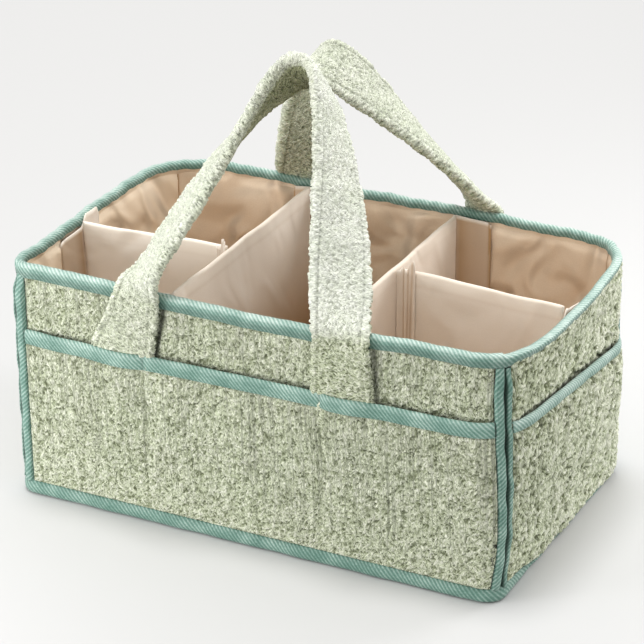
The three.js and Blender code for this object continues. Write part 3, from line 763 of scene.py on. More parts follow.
def pocket_gap(wall, base, travel, whole, z):
    """How far a pocket stands off its wall."""
    sides = step(np.minimum(travel, whole - travel), 0, 30)
    gap = between(POCKET_LEAST, POCKET_SLACK[wall], sides * step(z - POCKET_FOOT, 0, 70))
    for foot in FOOT_PLACES.get(wall, ()):
        beside = smooth(np.abs(base[..., 0] - foot) / FOOT_HALF)
        gap = gap + FOOT_ROOM * (1 - beside) * step(z, 85, 28)
    return np.maximum(gap - 1.2 * MM * sewn_at(wall, base, 5 * MM) * sides, POCKET_LEAST * 0.8)


# %% A pocket panel
POCKET_BACK_ROWS, POCKET_EDGE_PILE = 8, 0.2


def pocket_piece(wall, shift):
    trim, (loose_along, loose_up), tall = SEAM_TRIM[wall], LOOSE[wall], TALL[wall]
    share = np.linspace(0, 1, int(wall_length(wall, HEIGHT / 2, trim) / CELL))
    foot = POCKET_FOOT * foot_share(wall, wall_places(wall, share, POCKET_FOOT, trim)[0])[None, :]

    def side(rise):
        v, s = np.meshgrid(rise, share, indexing="ij")
        mouth = pocket_mouth(wall, s) - MOUTH_BELOW
        z = between(foot, mouth, v)
        base, out, travel, whole = wall_places(wall, s, z, trim)
        return s, mouth, z, base, out, travel, whole, pocket_gap(wall, base, travel, whole, z)

    rows = int((max(POCKET_TOP[wall]) * MM - POCKET_FOOT) / CELL)
    s, mouth, z, base, out, travel, whole, gap = side(np.linspace(0, 1, rows))
    _, _, _, base_i, out_i, travel_i, _, gap_i = side(np.linspace(1, 0, POCKET_BACK_ROWS))
    height, tone = pile_at(travel * loose_along, z * loose_up, shift)
    flat_edge = smooth(np.minimum(travel, whole - travel) / FADE) * step(z - foot, 0, 2)
    under_tape = smooth((mouth - POCKET_TAPE_DROP[wall] + TAPE_LAP - z) / FADE)
    sewn = np.minimum(sewn_at(wall, base, 1.0 * MM), 1)
    swell = (ripple(travel, [(71, 0.5), (43, 0.3)], shift)
             + ripple(z + 0.4 * travel, [(58, 0.4)], shift + 9)) * flat_edge
    raised = height * between(POCKET_EDGE_PILE, tall, flat_edge * under_tape) * (1 - 0.75 * sewn)
    cloth = POCKET_CLOTH - 0.7 * MM * (1 - under_tape)
    face = pushed(base, out, gap + cloth + swell * under_tape + raised)
    # The right end's pile is painted darker towards its front corner, as painted shade.
    pile = between(PILE_MIDDLE, height / PILE_TOP * (1 - 0.4 * sewn), tall) - painted_end_shade(wall, s)
    return cloth_piece(wall + "_pocket_boucle", np.concatenate([face, pushed(base_i, out_i, gap_i)]),
                       np.concatenate([travel, travel_i]) * loose_along, scale=loose_up,
                       pile=backed(pile, POCKET_BACK_ROWS, 0.4), tone=backed(tone, POCKET_BACK_ROWS, 0.5))


# %% Four pockets
for number, wall in enumerate(WALLS):
    pocket = pocket_piece(wall, number + 6)
    dress(pocket, boucle_cloth, "tub", "boucle", wall + "_pocket")

# %% [markdown]
# ## Twill tape
# The raw edges are bound with a folded twill tape. Its section is drawn as a short closed outline, from the outer face
# over the edge to the inner face and back. The outline is then carried along the edge, and a row of stitches dents it
# near its border.

# %% Tape along an edge
STITCH_LENGTH, STITCH_WIDTH = 3.2 * MM, 0.55 * MM


def fine_outline(points, step):
    """Points about a step apart along a closed outline of (stand, height) pairs in millimetres: stands, heights."""
    points = np.array(points + points[:1], float)
    fine = []
    for a, b in zip(points[:-1], points[1:]):
        count = max(1, int(np.linalg.norm(b - a) / step))
        fine += [a + (b - a) * k / count for k in range(count)]
    return np.array(fine).T[..., None] * MM


def stitch_row(along, height, line):
    """Mask of a row of stitches at one height of the tape."""
    dash = 0.5 + 0.5 * np.cos(2 * math.pi * along / STITCH_LENGTH)
    return bell(height - line, STITCH_WIDTH) * dash**2


# %% A tape round the tub
LOOP_STEP = 1.2 * MM


def loop_piece(name, outline_at):
    """A tape once round the tub: outline_at(wall, places, travel) gives stands, heights, stitch and pale masks."""
    parts, travel = [], 0.0
    for wall in WALLS:
        whole = wall_length(wall, HEIGHT)
        share = np.linspace(0, 1, int(whole / LOOP_STEP), endpoint=False)
        here = travel + share * whole
        stand, z, stitch, pale = outline_at(wall, wall_places(wall, share, HEIGHT / 2)[0], here)
        base, out, _, _ = wall_places(wall, share[None, :], z)
        marks = [np.broadcast_to(values, z.shape) for values in (here, stitch, pale)]
        parts.append(np.concatenate([pushed(base, out, stand), np.stack(marks, -1)], -1))
        travel += whole
    grid = np.concatenate(parts + [parts[0][:, :1]], axis=1)
    grid[:, -1, 3] = travel
    return cloth_piece(name, grid[..., :3], grid[..., 3], stitch=grid[..., 4], pale=grid[..., 5])


# %% Rim tape
RIM_INNER_DROP = 6.2 * MM
RIM_OUTLINE = fine_outline([
    (0.1, -10.7), (0.9, -10.4), (1.1, -8.2), (1.4, -5.0), (1.25, -2.2), (0.75, -0.9), (-0.3, -0.2), (-2.1, 0.0),
    (-3.8, -0.25), (-4.9, -0.9), (-5.5, -2.1), (-5.8, -4.0), (-5.7, -5.9), (-5.1, -6.2), (-5.0, -1.8), (0.1, -1.8),
], 0.8)


def rim_outline(wall, places, travel):
    stand, height = RIM_OUTLINE
    wave = ripple(travel, [(47, 0.3), (29, 0.2), (13, 0.22)], 21)[None, :]
    outer, inner = step(stand, -0.5, 1), step(-stand, 2.5, 1)
    shorter = 1 - outer * (1 - rim_drop(wall, places)[None, :] / RIM_TAPE_DROP)
    edge = np.where(stand > -2 * MM, height + RIM_TAPE_DROP, height + RIM_INNER_DROP)
    stitch = stitch_row(travel[None, :], edge, 1.6 * MM) * np.maximum(outer, inner)
    z = HEIGHT + height * shorter + 0.8 * wave
    # The lower part of the tape takes painted shade, and its top fold a painted highlight.
    shade = np.maximum(0.38 * step(-height, 3.8, 3.5) * outer,
                       0.3 * step(-height, 0.6, 2.5) * inner)
    pale = 0.42 * step(height, -3.8, 2.6) * (1 - 0.7 * inner)
    return stand + 0.7 * wave - 0.3 * MM * stitch * (outer - inner), z, np.maximum(0.55 * stitch, shade), pale


rim_tape = loop_piece("rim_tape", rim_outline)
dress(rim_tape, twill_tape, "tub", "binding_tape", "rim_binding")

# %% Base tape
BASE_OUTLINE = fine_outline([
    (0.2, 10.4), (-2.4, 1.4), (-6.5, 1.2), (-6.8, 0.3), (1.4, 0.3), (3.0, 1.2), (3.7, 3.0), (3.8, 6.0), (3.2, 9.0),
    (2.2, 10.4),
], 0.9)


def base_outline(wall, places, travel):
    stand, height = BASE_OUTLINE
    wave = ripple(travel, [(53, 0.3), (31, 0.2)], 31)[None, :]
    outer = step(stand, 0, 2)
    stitch = stitch_row(travel[None, :], height, 8.6 * MM) * outer
    share = foot_share(wall, places)[None, :]
    z = np.maximum((height + 0.4 * wave * step(height, 0, 4)) * share, 0.3 * MM)
    under = 2.2 * MM * (1 - share) * outer
    return stand + wave * outer - 0.4 * MM * stitch - under, z, 0.55 * stitch, 0.0


base_tape = loop_piece("base_tape", base_outline)
dress(base_tape, twill_tape, "tub", "binding_tape", "base_binding")

# %% Pocket tapes
POCKET_TAPE_STEP = 1.0 * MM


def folded_outline(drop):
    """Outline of a tape folded over a pocket's mouth and reaching down by drop, in millimetres."""
    return [
        (1.9, -drop), (2.6, -drop + 0.3), (2.8, -drop + 2.6), (3.1, -drop * 0.45), (2.9, -1.8), (2.1, -0.5),
        (0.95, 0.3), (-0.3, -0.5), (-0.85, -1.8), (-0.85, -drop + 1.5), (-0.7, -drop + 0.3), (0, -drop),
        (0, -1.6), (1.9, -1.6),
    ]


def pocket_tape_piece(wall, shift):
    trim, drop = SEAM_TRIM[wall], POCKET_TAPE_DROP[wall]
    stand, height = fine_outline(folded_outline(drop / MM), 0.9)
    share = np.linspace(0, 1, int(wall_length(wall, HEIGHT / 2, trim) / POCKET_TAPE_STEP))[None, :]
    mouth = pocket_mouth(wall, share)
    base, out, travel, whole = wall_places(wall, share, mouth + height, trim)
    gap = pocket_gap(wall, base, travel, whole, mouth - 0.5 * drop)
    outer = step(stand, 0.5, 1.5)
    wave = ripple(travel, [(41, 0.3), (23, 0.2)], shift)
    stitch = stitch_row(travel, height + drop, 1.7 * MM) * outer
    fold = sewn_at(wall, base, 0.9 * MM)
    places = pushed(base, out, gap + stand + (wave - 0.3 * MM * stitch - 0.2 * MM * fold) * outer)
    places[..., 2] += 0.4 * wave
    # The pocket tape's top fold is painted lighter as a painted highlight, more on the right end.
    return cloth_piece(wall + "_pocket_tape", places, travel, stitch=np.maximum(0.5 * stitch, 0.45 * fold * outer),
                       pale=(0.3 if wall == "right_end" else 0.12) * step(height, -5, 3))


for number, wall in enumerate(WALLS):
    tape = pocket_tape_piece(wall, number + 41)
    dress(tape, twill_tape, "tub", "binding_tape", wall + "_pocket_binding")

# %% [markdown]
# ## Corner tapes
# Each upright seam ends in two bound edges that stand side by side; the groove between them is painted shade.

# %% Upright tapes
CORNER_STAND, CORNER_SINK, CORNER_SECTIONS = 3.6 * MM, 2.4 * MM, 32
CORNER_LOW, CORNER_TOP, CORNER_STEP = POCKET_FOOT - 1 * MM, HEIGHT - RIM_TAPE_DROP + 2.5 * MM, 1.2 * MM


def squared(wave):
    """A sine wave pressed towards a square one."""
    return np.sign(wave) * np.abs(wave) ** 0.6


def corner_tape_piece(wall, end, shift):
    side, number = (1, 0) if end == "first" else (-1, 1)
    width = SEAM_TRIM[wall][number] - 0.6 * MM
    z = np.arange(CORNER_LOW, CORNER_TOP, CORNER_STEP)[None, :]
    turn = np.linspace(0, 2 * math.pi, CORNER_SECTIONS, endpoint=False)[:, None]
    half, tall = width / 2, (CORNER_STAND + CORNER_SINK) / 2
    across = half * squared(np.sin(turn))
    outer = smooth((-np.cos(turn) + 0.2) / 0.6)
    from_seam = half + side * across
    groove = bell(from_seam, 0.9 * MM)
    lies = step(z - HEIGHT + RIM_TAPE_DROP, -14, 14)
    stand = (CORNER_STAND - CORNER_SINK) / 2 + tall * squared(-np.cos(turn))
    stand = stand - (1.2 * MM * groove + 2.8 * MM * lies) * outer
    share = (half + 0.1 * MM) / wall_places(wall, 0.0, z)[3]
    centre, out, _, _ = wall_places(wall, share if side > 0 else 1 - share, z)
    way = np.stack([-out[..., 1], out[..., 0], np.zeros_like(z)], -1)
    wave = ripple(z, [(37, 0.3), (19, 0.2)], shift)
    stitch = stitch_row(z, from_seam, width - 1.6 * MM) * outer
    places = pushed(pushed(centre, way, across + 0.6 * wave), out, stand + (wave - 0.3 * MM * stitch) * outer)
    # The groove between the two edges is painted dark as painted shade; the rest of the mark is stitches.
    return cloth_piece(f"{wall}_{end}_corner_tape", places, z,
                       stitch=np.maximum(0.5 * stitch, np.minimum(1.3 * groove, 1)))


for number, wall in enumerate(WALLS):
    for end in ("first", "last"):
        tape = corner_tape_piece(wall, end, 2 * number + (51 if end == "first" else 52))
        dress(tape, twill_tape, "tub", "binding_tape", f"{wall}_{end}_corner_binding")

# %% [markdown]
# ## Lining
# The lining hangs inside the walls. It is a thin woven cloth over boards, so it is nearly flat, with soft slanting
# wrinkles, and a brown seam line at each corner near the rim. In the photograph the left end looks a little paler
# than the rest, and the back a little browner, so the left end's cloth takes painted light and the back's painted
# shade.

# %% Lining walls
LINING_TOP, LINING_LOW = HEIGHT - 2.5 * MM, 7.7 * MM
LINING_PAINTED_SHADE, LINING_PAINTED_LIGHT, LINING_ROWS = {"back": 0.08}, {"left_end": 0.9}, 90
LINING_FACE, LINING_BACK, LINING_LAP, LINING_STEP = 6.2 * MM, 5.9 * MM, (-0.7 * MM, -0.7 * MM), 2 * MM


def under_rim_tape(z):
    """0 below the rim tape's inner edge, 1 where the lining is pressed thin under it."""
    return step(z, 166.5, 8)


def lining_piece(wall, shift):
    share = np.linspace(1, 0, int(wall_length(wall, HEIGHT / 2) / LINING_STEP))
    up = np.linspace(LINING_LOW, LINING_TOP, LINING_ROWS)
    z, s = np.meshgrid(up, share, indexing="ij")
    base, out, travel, whole = wall_places(wall, s, z, LINING_LAP)
    edge = np.minimum(travel, whole - travel)
    folds = (ripple(travel + 0.7 * z, [(41, 0.35), (27, 0.25)], shift)
             + ripple(travel - 0.5 * z, [(67, 0.3)], shift + 1)) * step(z, 30, 90)
    free = 1 - under_rim_tape(z)
    depth = LINING_FACE + (0.3 * MM + 0.35 * folds) * step(edge, 0, 6) * free - 1.6 * MM * (1 - free)
    depth = depth + end_lean(wall, base[..., 1], z) * free
    zo, so = np.meshgrid(up[::-6], share, indexing="ij")
    base_o, out_o, travel_o, _ = wall_places(wall, so, zo, LINING_LAP)
    free_o = 1 - under_rim_tape(zo)
    back = LINING_BACK - 1.9 * MM * (1 - free_o) + end_lean(wall, base_o[..., 1], zo) * free_o
    seam = bell(edge, 1.5 * MM) * step(z, 144, 12)
    places = np.concatenate([pushed(base, out, -depth), pushed(base_o, out_o, -back)])
    # The back takes painted shade and the left end painted light, besides the seam lines.
    return cloth_piece(wall + "_lining_cloth", places, np.concatenate([travel, travel_o]),
                       stitch=backed(np.maximum(seam, LINING_PAINTED_SHADE.get(wall, 0)), len(zo), 0.0),
                       pale=LINING_PAINTED_LIGHT.get(wall, 0))


for number, wall in enumerate(WALLS):
    lining = lining_piece(wall, number + 61)
    width = wall_length(wall, HEIGHT / 2)
    dress(lining, lining_cloth, "tub", "lining_cloth", wall + "_lining")

# %% Floor and base
PLATE_RINGS, PLATE_STEP = 28, 4 * MM


def plate_piece(name, depth, low, high, wrinkle, shift):
    """A plate in the tub's plan: rings from the middle of its underside, round its edge, to the middle of its top."""
    edge = []
    for wall in WALLS:
        share = np.linspace(0, 1, int(wall_length(wall, low) / PLATE_STEP), endpoint=False)
        places, out, _, _ = wall_places(wall, share, low)
        edge.append(places - out * depth)
    edge = wrap(np.concatenate(edge)[:, :2])
    grow = np.linspace(0.02, 1, PLATE_RINGS)
    flat = edge[None] * np.concatenate([grow, grow[::-1]])[:, None, None]
    top = (np.arange(2 * PLATE_RINGS) >= PLATE_RINGS)[:, None]
    waves = ripple(flat[..., 0] + 0.6 * flat[..., 1], [(61, 1.0), (37, 0.6)], shift)
    z = np.where(top, high, low) + top * wrinkle * waves
    places = np.concatenate([flat, z[..., None]], -1)
    return cloth_piece(name, places, flat[..., 0], flat[..., 1], closed=False, pile=0.55, tone=0.5, stitch=0.0)


floor_cloth = plate_piece("floor_lining_cloth", WALL + 0.6 * MM, 6.6 * MM, 7.6 * MM, 0.15, 71)
dress(floor_cloth, lining_cloth, "tub", "lining_cloth", "floor_lining")
base_cloth = plate_piece("base_boucle", WALL + 0.3 * MM, 0.0, 2.8 * MM, 0.0, 72)
dress(base_cloth, boucle_cloth, "tub", "boucle", "base_panel")

# %% [markdown]
# ## Straps
# A strap is a flat padded tube of boucle, sewn to the wall at both ends and free in between. It leans in over the tub
# and twists on each leg, because its ends lie flat on the wall and its top lies on edge. The route is the CAD strap's
# own arch with its sewn ends added, rounded where it leaves the wall; the front one's padding puffs its crown up a
# few millimetres. The table is in millimetres and degrees: each leg has its sewn place, its width there and at the
# rim, and how much of its turn comes at the rim and how late the rest comes.

# %% Strap route
STRAP_START, STRAP_WIDTH, FOOT_STAND, ARCH_STAND = HEIGHT + 0.6 * MM, 43, 2.6, 5.4
ARCH_STEPS, FOOT_STEPS = 801, 60
# In each strap's entry, flat is how dark the painted shade on its underside is, and the last pair is how much painted
# light its left and right legs take.
HANDLES = {
    "front": dict(side=-1, middle=-9.5, spread=78.5, rise=167, lean=32, sway=8, tilt=50,
                  left=(-105, 52, 35, 0.44, 3.2), right=(69, 50, 41, 0.0, 0.75), puff=(2.0, 6.5),
                  flat=0.85, brushed=(0.55, 0.86)),
    "back": dict(side=1, middle=-3, spread=72, rise=168, lean=37, sway=-10, tilt=22,
                 left=(-76, 50, 49, 0.0, 0.5), right=(74, 50, 28, 0.32, 1.6), puff=(0.0, 0.0),
                 flat=0.12, brushed=(0.45, 0.45)),
}


def arch_share(s):
    """How high the arch stands: 1 at its crown, where s is 0, and 0 at the rim, where s is -1 or 1."""
    bow = lambda x: (x * x + 0.15**2) ** 0.75
    return 1 - (bow(s) - bow(0.0)) / (bow(1.0) - bow(0.0))


def arch_point(handle, s):
    share, crown = arch_share(s), bell(s + 0.05, 0.38)
    up, lean = handle["rise"] * share, math.radians(handle["lean"])
    x = handle["middle"] + handle["spread"] * s + handle["sway"] * share + handle["puff"][0] * crown
    y = handle["side"] * (DEPTH / MM / 2 + ARCH_STAND - up * math.sin(lean))
    return np.stack([x, y, STRAP_START / MM + up * math.cos(lean) + handle["puff"][1] * crown], -1) * MM


def foot_route(handle, leg, rim_x, low):
    """A sewn end, from its tucked edge up to the rim: places and widths."""
    sewn, wide, rim_width, _, _ = handle[leg]
    z = np.linspace(low, STRAP_START, FOOT_STEPS)
    share = smooth((z - low) / (STRAP_START - low))
    stand = between(FOOT_STAND, ARCH_STAND, step(z, 135, 35)) * MM
    places = np.stack([between(sewn * MM, rim_x, share), handle["side"] * (DEPTH / 2 + stand), z], -1)
    return places, between(wide, rim_width, share) * MM


# %% Strap frame
def blur(values, spread):
    """Smooths a row of values along the route, keeping its ends."""
    reach = int(3 * spread)
    weight = np.exp(-0.5 * (np.arange(-reach, reach + 1) / spread) ** 2)
    padded = np.concatenate([2 * values[:1] - values[reach:0:-1], values, 2 * values[-1:] - values[-2:-reach - 2:-1]])
    return np.stack([np.convolve(column, weight / weight.sum(), "valid") for column in padded.T], -1)


def strap_route(handle, low):
    """Evenly spaced centres, with the roll, width and sewn share at each, from one tucked end to the other."""
    s = np.linspace(-1, 1, ARCH_STEPS)
    arch, share = arch_point(handle, s), arch_share(s)
    rim_width, early, late = (np.where(s < 0, handle["left"][k], handle["right"][k]) for k in (2, 3, 4))
    turn = math.pi / 2 * between(share**late, smooth(share / 0.07), early)
    roll = np.where(s < 0, turn, math.pi - turn)
    width = between(STRAP_WIDTH, rim_width, s**4) * MM
    left, left_width = foot_route(handle, "left", arch[0, 0], low)
    right, right_width = foot_route(handle, "right", arch[-1, 0], low)
    centre = np.concatenate([left[:-1], arch, right[-2::-1]])
    facts = np.stack([
        np.concatenate([np.zeros(len(left) - 1), roll, np.full(len(right) - 1, math.pi)]),
        np.concatenate([left_width[:-1], width, right_width[-2::-1]]),
        np.concatenate([np.ones(len(left) - 1), np.zeros(len(s)), np.ones(len(right) - 1)]),
    ], -1)
    travel = np.concatenate([[0], np.cumsum(np.linalg.norm(np.diff(centre, axis=0), axis=1))])
    even = np.linspace(0, travel[-1], int(travel[-1] / CELL))
    table = np.stack([np.interp(even, travel, column) for column in np.concatenate([centre, facts], 1).T], -1)
    table = blur(table, 7 * MM / CELL)
    return even, table[:, :3], table[:, 3], table[:, 4], table[:, 5]


# %% A padded strap
STRAP_HALF_THICK, FOOT_HALF_THICK, PILE_ROOM = 2.9 * MM, 1.7 * MM, 1.1 * MM
SEAM_INSET, SEAM_WIDTH, BITE_LENGTH = 4.2 * MM, 0.8 * MM, 4.5 * MM


def strap_section(count, half_width, half_thick):
    """Across and out offsets and normals round a flat tube with round edges; the tube's faces swell a little."""
    core = half_width - half_thick
    mean_core, mean_thick = float(core.mean()), float(half_thick.mean())
    perimeter = 4 * mean_core + 2 * math.pi * mean_thick
    face, edge = 2 * mean_core / perimeter, math.pi * mean_thick / perimeter
    p = np.linspace(0, 1, count + 1)[:, None]
    first, second = np.clip(p / face, 0, 1), np.clip((p - face - edge) / face, 0, 1)
    turn_a, turn_b = (math.pi * np.clip((p - start) / edge, 0, 1) for start in (face, 2 * face + edge))
    swell = lambda t: 1 + 0.25 * (1 - (2 * t - 1) ** 2)
    pick = lambda *parts: np.select([p <= face, p < face + edge, p <= 2 * face + edge], parts[:3], parts[3])
    across = pick(-core + 2 * core * first, core + half_thick * np.sin(turn_a),
                  core - 2 * core * second, -core - half_thick * np.sin(turn_b))
    out = pick(half_thick * swell(first), half_thick * np.cos(turn_a),
               -half_thick * swell(second), -half_thick * np.cos(turn_b))
    zero = np.zeros_like(p)
    normal_across = pick(zero, np.sin(turn_a), zero, -np.sin(turn_b))
    normal_out = pick(zero + 1, np.cos(turn_a), zero - 1, -np.cos(turn_b))
    return across, out, normal_across, normal_out, p * perimeter


def strap_piece(name, handle, low, shift):
    travel, centre, roll, width, sewn = strap_route(handle, low)
    tilt = math.radians(handle["tilt"])
    crown = np.array([0, handle["side"] * math.cos(tilt), math.sin(tilt)])
    along = np.gradient(centre, axis=0)
    along /= np.linalg.norm(along, axis=1, keepdims=True)
    across = np.cos(roll)[:, None] * np.array([1.0, 0, 0]) + np.sin(roll)[:, None] * crown
    across -= along * (across * along).sum(1, keepdims=True)
    across /= np.linalg.norm(across, axis=1, keepdims=True)
    out = np.cross(along, across)
    half_thick = between(STRAP_HALF_THICK, FOOT_HALF_THICK, smooth(sewn * 1.6 - 0.3))
    half_width = width / 2 - PILE_ROOM
    count = int((2 * STRAP_WIDTH * MM + 12 * MM) / CELL)
    a, b, normal_a, normal_b, around = strap_section(count, half_width[None], half_thick[None])
    height, tone = pile_at(travel[None], around, shift)
    groove = bell(np.abs(a) - half_width + SEAM_INSET, SEAM_WIDTH) * (np.abs(normal_b) > 0.5)
    puff = ripple(travel, [(31, 0.25), (19, 0.15)], shift)[None]
    bite = 0.5 - 0.5 * np.cos(2 * math.pi * travel / BITE_LENGTH)[None]
    rough = (0.2 * MM * bite + 0.8 * (height - 0.8 * MM)) * np.abs(normal_a)
    rise = height * (1 - 0.7 * groove) - 0.5 * MM * groove * bite + puff + rough
    places = pushed(pushed(centre[None], across[None], a + normal_a * rise), out[None], b + normal_b * rise)
    places[-1], height[-1], tone[-1] = places[0], height[0], tone[0]
    foot = smooth(sewn * 1.4 - 0.2)[None] * np.where(travel < travel[-1] / 2, 0.55, 1.0)[None]
    # The strap's underside, away from the sewn feet, is painted dark as painted shade.
    inner = smooth(0.5 - 0.9 * handle["side"] * normal_b) * (1 - foot)
    inner = inner * (1 - 0.8 * step(a - half_width, -9, 5))
    # How much painted light each leg takes, from the left leg to the right.
    brushed = np.interp(travel / travel[-1], [0.4, 0.55], handle["brushed"])[None]
    return cloth_piece(name, places, travel, around, closed=False, pile=height / PILE_TOP * (1 - 0.3 * groove),
                       tone=tone, stitch=0.6 * groove * (1 - bite) ** 2 * (1 - foot),
                       brushed=brushed * (1 - foot) * (1 - inner), ground=handle["flat"] * inner)


# %% Two straps
for number, (wall, handle) in enumerate(HANDLES.items()):
    low = (min(POCKET_TOP[wall]) - 22) * MM
    strap = strap_piece(wall + "_strap", handle, low, number + 81)
    dress(strap, boucle_cloth, None, "boucle", wall + "_handle", wall + "_handle_left_foot",
          wall + "_handle_right_foot")
    y = handle["side"] * 120 * MM
    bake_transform(strap)

# %% [markdown]
# ## Dividers
# A divider is a board in a sewn cloth cover, with a flap at each end that sticks to the wall or the other divider. The
# cover has a rolled top edge with a sewn line below it. It is laid out along its own length and then set in its place.

# %% Divider covers
DIVIDER_LOW, DIVIDER_TOP, DIVIDER_HALF = 8.0 * MM, 178 * MM, 1.85 * MM
FLAP_GAP, FLAP_ROOM = 1.1 * MM, 1.8 * MM
COVER_ROWS, COVER_STEP, COVER_ROLL = 60, 2 * MM, 2 * MM


def end_face(side, z):
    """Where a divider's end may stand beside an end wall, at a height: the CAD's own place for it."""
    return mid_line(z) + side * (half_length(z) - WALL - FLAP_GAP - FLAP_ROOM)


def flare_at(side, z):
    """How far a divider's wall end leans out with the wall at a height, and a little more near the rim."""
    lean = np.abs(end_face(side, z) - end_face(side, DIVIDER_LOW))
    return lean + (3.0 if side > 0 else 2.0) * MM * step(z, 135, 40)


def cover_piece(name, start, stop, flares, cover_light, cover_shade, shift):
    """A cover from one plan point to another; each end that meets an end wall flares with it towards the top.
    The first tone number is painted light over all of it, the second painted shade above its foot."""
    start, stop = np.array(start, float), np.array(stop, float)
    length = float(np.linalg.norm(stop - start))
    way = (stop - start) / length
    side = np.array([-way[1], way[0]])
    up = np.linspace(DIVIDER_LOW, DIVIDER_TOP - COVER_ROLL, COVER_ROWS)
    roll = np.linspace(0, math.pi, 9)[1:-1]
    z = np.concatenate([up, DIVIDER_TOP - COVER_ROLL + COVER_ROLL * np.sin(roll), up[::-1]])[:, None]
    face = np.concatenate([-np.ones(COVER_ROWS), -np.cos(roll), np.ones(COVER_ROWS)])[:, None]
    x = np.linspace(0, length, int(length / COVER_STEP))[None, :]
    end, below = np.minimum(x, length - x), DIVIDER_TOP - z
    round_end = np.sqrt(np.clip(1 - (1 - np.clip(end / COVER_ROLL, 0, 1)) ** 2, 0, 1))
    hem = bell(below - 10 * MM, 0.8 * MM)
    slack = (ripple(x + 0.3 * z, [(57, 0.12), (33, 0.1)], shift)
             + ripple(z, [(71, 0.1)], shift + 1)) * step(end, 0, 20) * step(below, 0, 20)
    y = face * (DIVIDER_HALF * (0.35 + 0.65 * round_end) - 0.3 * MM * hem) + slack
    lift = ripple(x, [(83, 0.35), (41, 0.2)], shift + 2) * step(z, 150, 26)
    pull = flares[1] * flare_at(1, z) * (x / length) - flares[0] * flare_at(-1, z) * (1 - x / length)
    plan = start + (x + pull)[..., None] * way + y[..., None] * side
    # The cover is painted darker towards its foot and along its very top edge, as painted shade.
    deep_shade = between(0.75, cover_shade, step(z, 65, 75))
    return cloth_piece(name, np.concatenate([plan, (z + lift)[..., None]], -1), x,
                       stitch=np.maximum(np.maximum(0.14 * hem, deep_shade), 0.22 * (1 - step(below, 1.4, 1))),
                       pale=0.24 * (1 - step(below, 9, 1)) + cover_light)


# %% Flaps
FLAP_LOW, FLAP_ROWS, FLAP_COLUMNS, GUSSET_COLUMNS = 20 * MM, 50, 24, 48
UP_AND_DOWN = np.concatenate([np.linspace(0, 1, FLAP_ROWS), np.linspace(1, 0, FLAP_ROWS)])[:, None]
FLAP_FACE = np.concatenate([np.ones(FLAP_ROWS), -np.ones(FLAP_ROWS)])[:, None]
AT_TOP_EDGE = smooth((UP_AND_DOWN - 0.985) / 0.01)


def flap_heights(t, edge_top):
    """Heights over a flap: up one face from its low edge to its top edge, and down the other."""
    return between(FLAP_LOW, np.interp(t, *edge_top) * MM, UP_AND_DOWN)


def flap_piece(name, edge_top, shade, near, far, place, way, out, flare, shift):
    """A cloth flap on a wall from near to far along it; edge_top and shade give its top edge and darkness across it."""
    t = np.linspace(0, 1, FLAP_COLUMNS)[None, :]
    along, z = between(near, far, t), flap_heights(t, edge_top)
    wave = ripple(z + along, [(37, 0.12)], shift)
    lying = 0.8 * MM * step(np.abs(along), 9, 14)
    stand = 0.5 * MM * FLAP_FACE + wave - (flare_at(flare, z) if flare else 0) - lying
    places = pushed(pushed(np.array(place, float), np.array(way, float), along), np.array(out, float), stand)
    places[..., 2] = z
    hem = 0.1 * (bell(t - 0.93, 0.02) + bell(t, 0.04))
    # Where a flap's far edge is in deep painted shade, a painted shadow line runs down its upper part.
    edge_shadow = 0.9 * smooth((np.interp(1, *shade) - 0.8) / 0.04) * bell(t - 0.96, 0.03) * step(z, 146, 8)
    shaded = np.interp(t, *shade) * smooth((1 - UP_AND_DOWN) / 0.02)
    return cloth_piece(name, places, along, stitch=np.maximum(np.maximum(hem, edge_shadow), shaded), pale=0.12 * AT_TOP_EDGE)


def gusset_piece(name, edge_top, corner, long_way, cross_way, reach, shift):
    """A flap that bends from a long divider's face on to a cross divider's: a hollow curve in plan, with creases.
    reach gives how far it goes along each, and how dark the painted shade in its creases is."""
    t, v = np.linspace(0, 1, GUSSET_COLUMNS)[None, :], UP_AND_DOWN
    long_way, cross_way = np.array(long_way, float), np.array(cross_way, float)
    plan = pushed(pushed(np.array(corner, float), long_way, reach[0] * (1 - t) ** 2), cross_way, reach[1] * t**2)
    normal = long_way * t[..., None] + cross_way * (1 - t[..., None])
    normal = normal / np.linalg.norm(normal, axis=-1, keepdims=True)
    z = flap_heights(t, edge_top)
    crease = sum(bell(t - place - 0.09 * (1 - v) ** 2 + 0.02 * np.sin(7 * v + 9 * place), 0.045)
                 for place in (0.10, 0.24, 0.42))
    crease = np.minimum(crease, 1)
    stand = 0.4 * MM * FLAP_FACE + 0.6 * MM * crease + ripple(z, [(47, 0.12)], shift)
    plan = pushed(plan, normal, stand + 0.6 * MM * (1 - t**3))
    # The creases are painted dark as painted shade.
    return cloth_piece(name, np.concatenate([plan, z[..., None]], -1), 24 * MM * t, stitch=reach[2] * crease,
                       pale=0.3 * AT_TOP_EDGE)


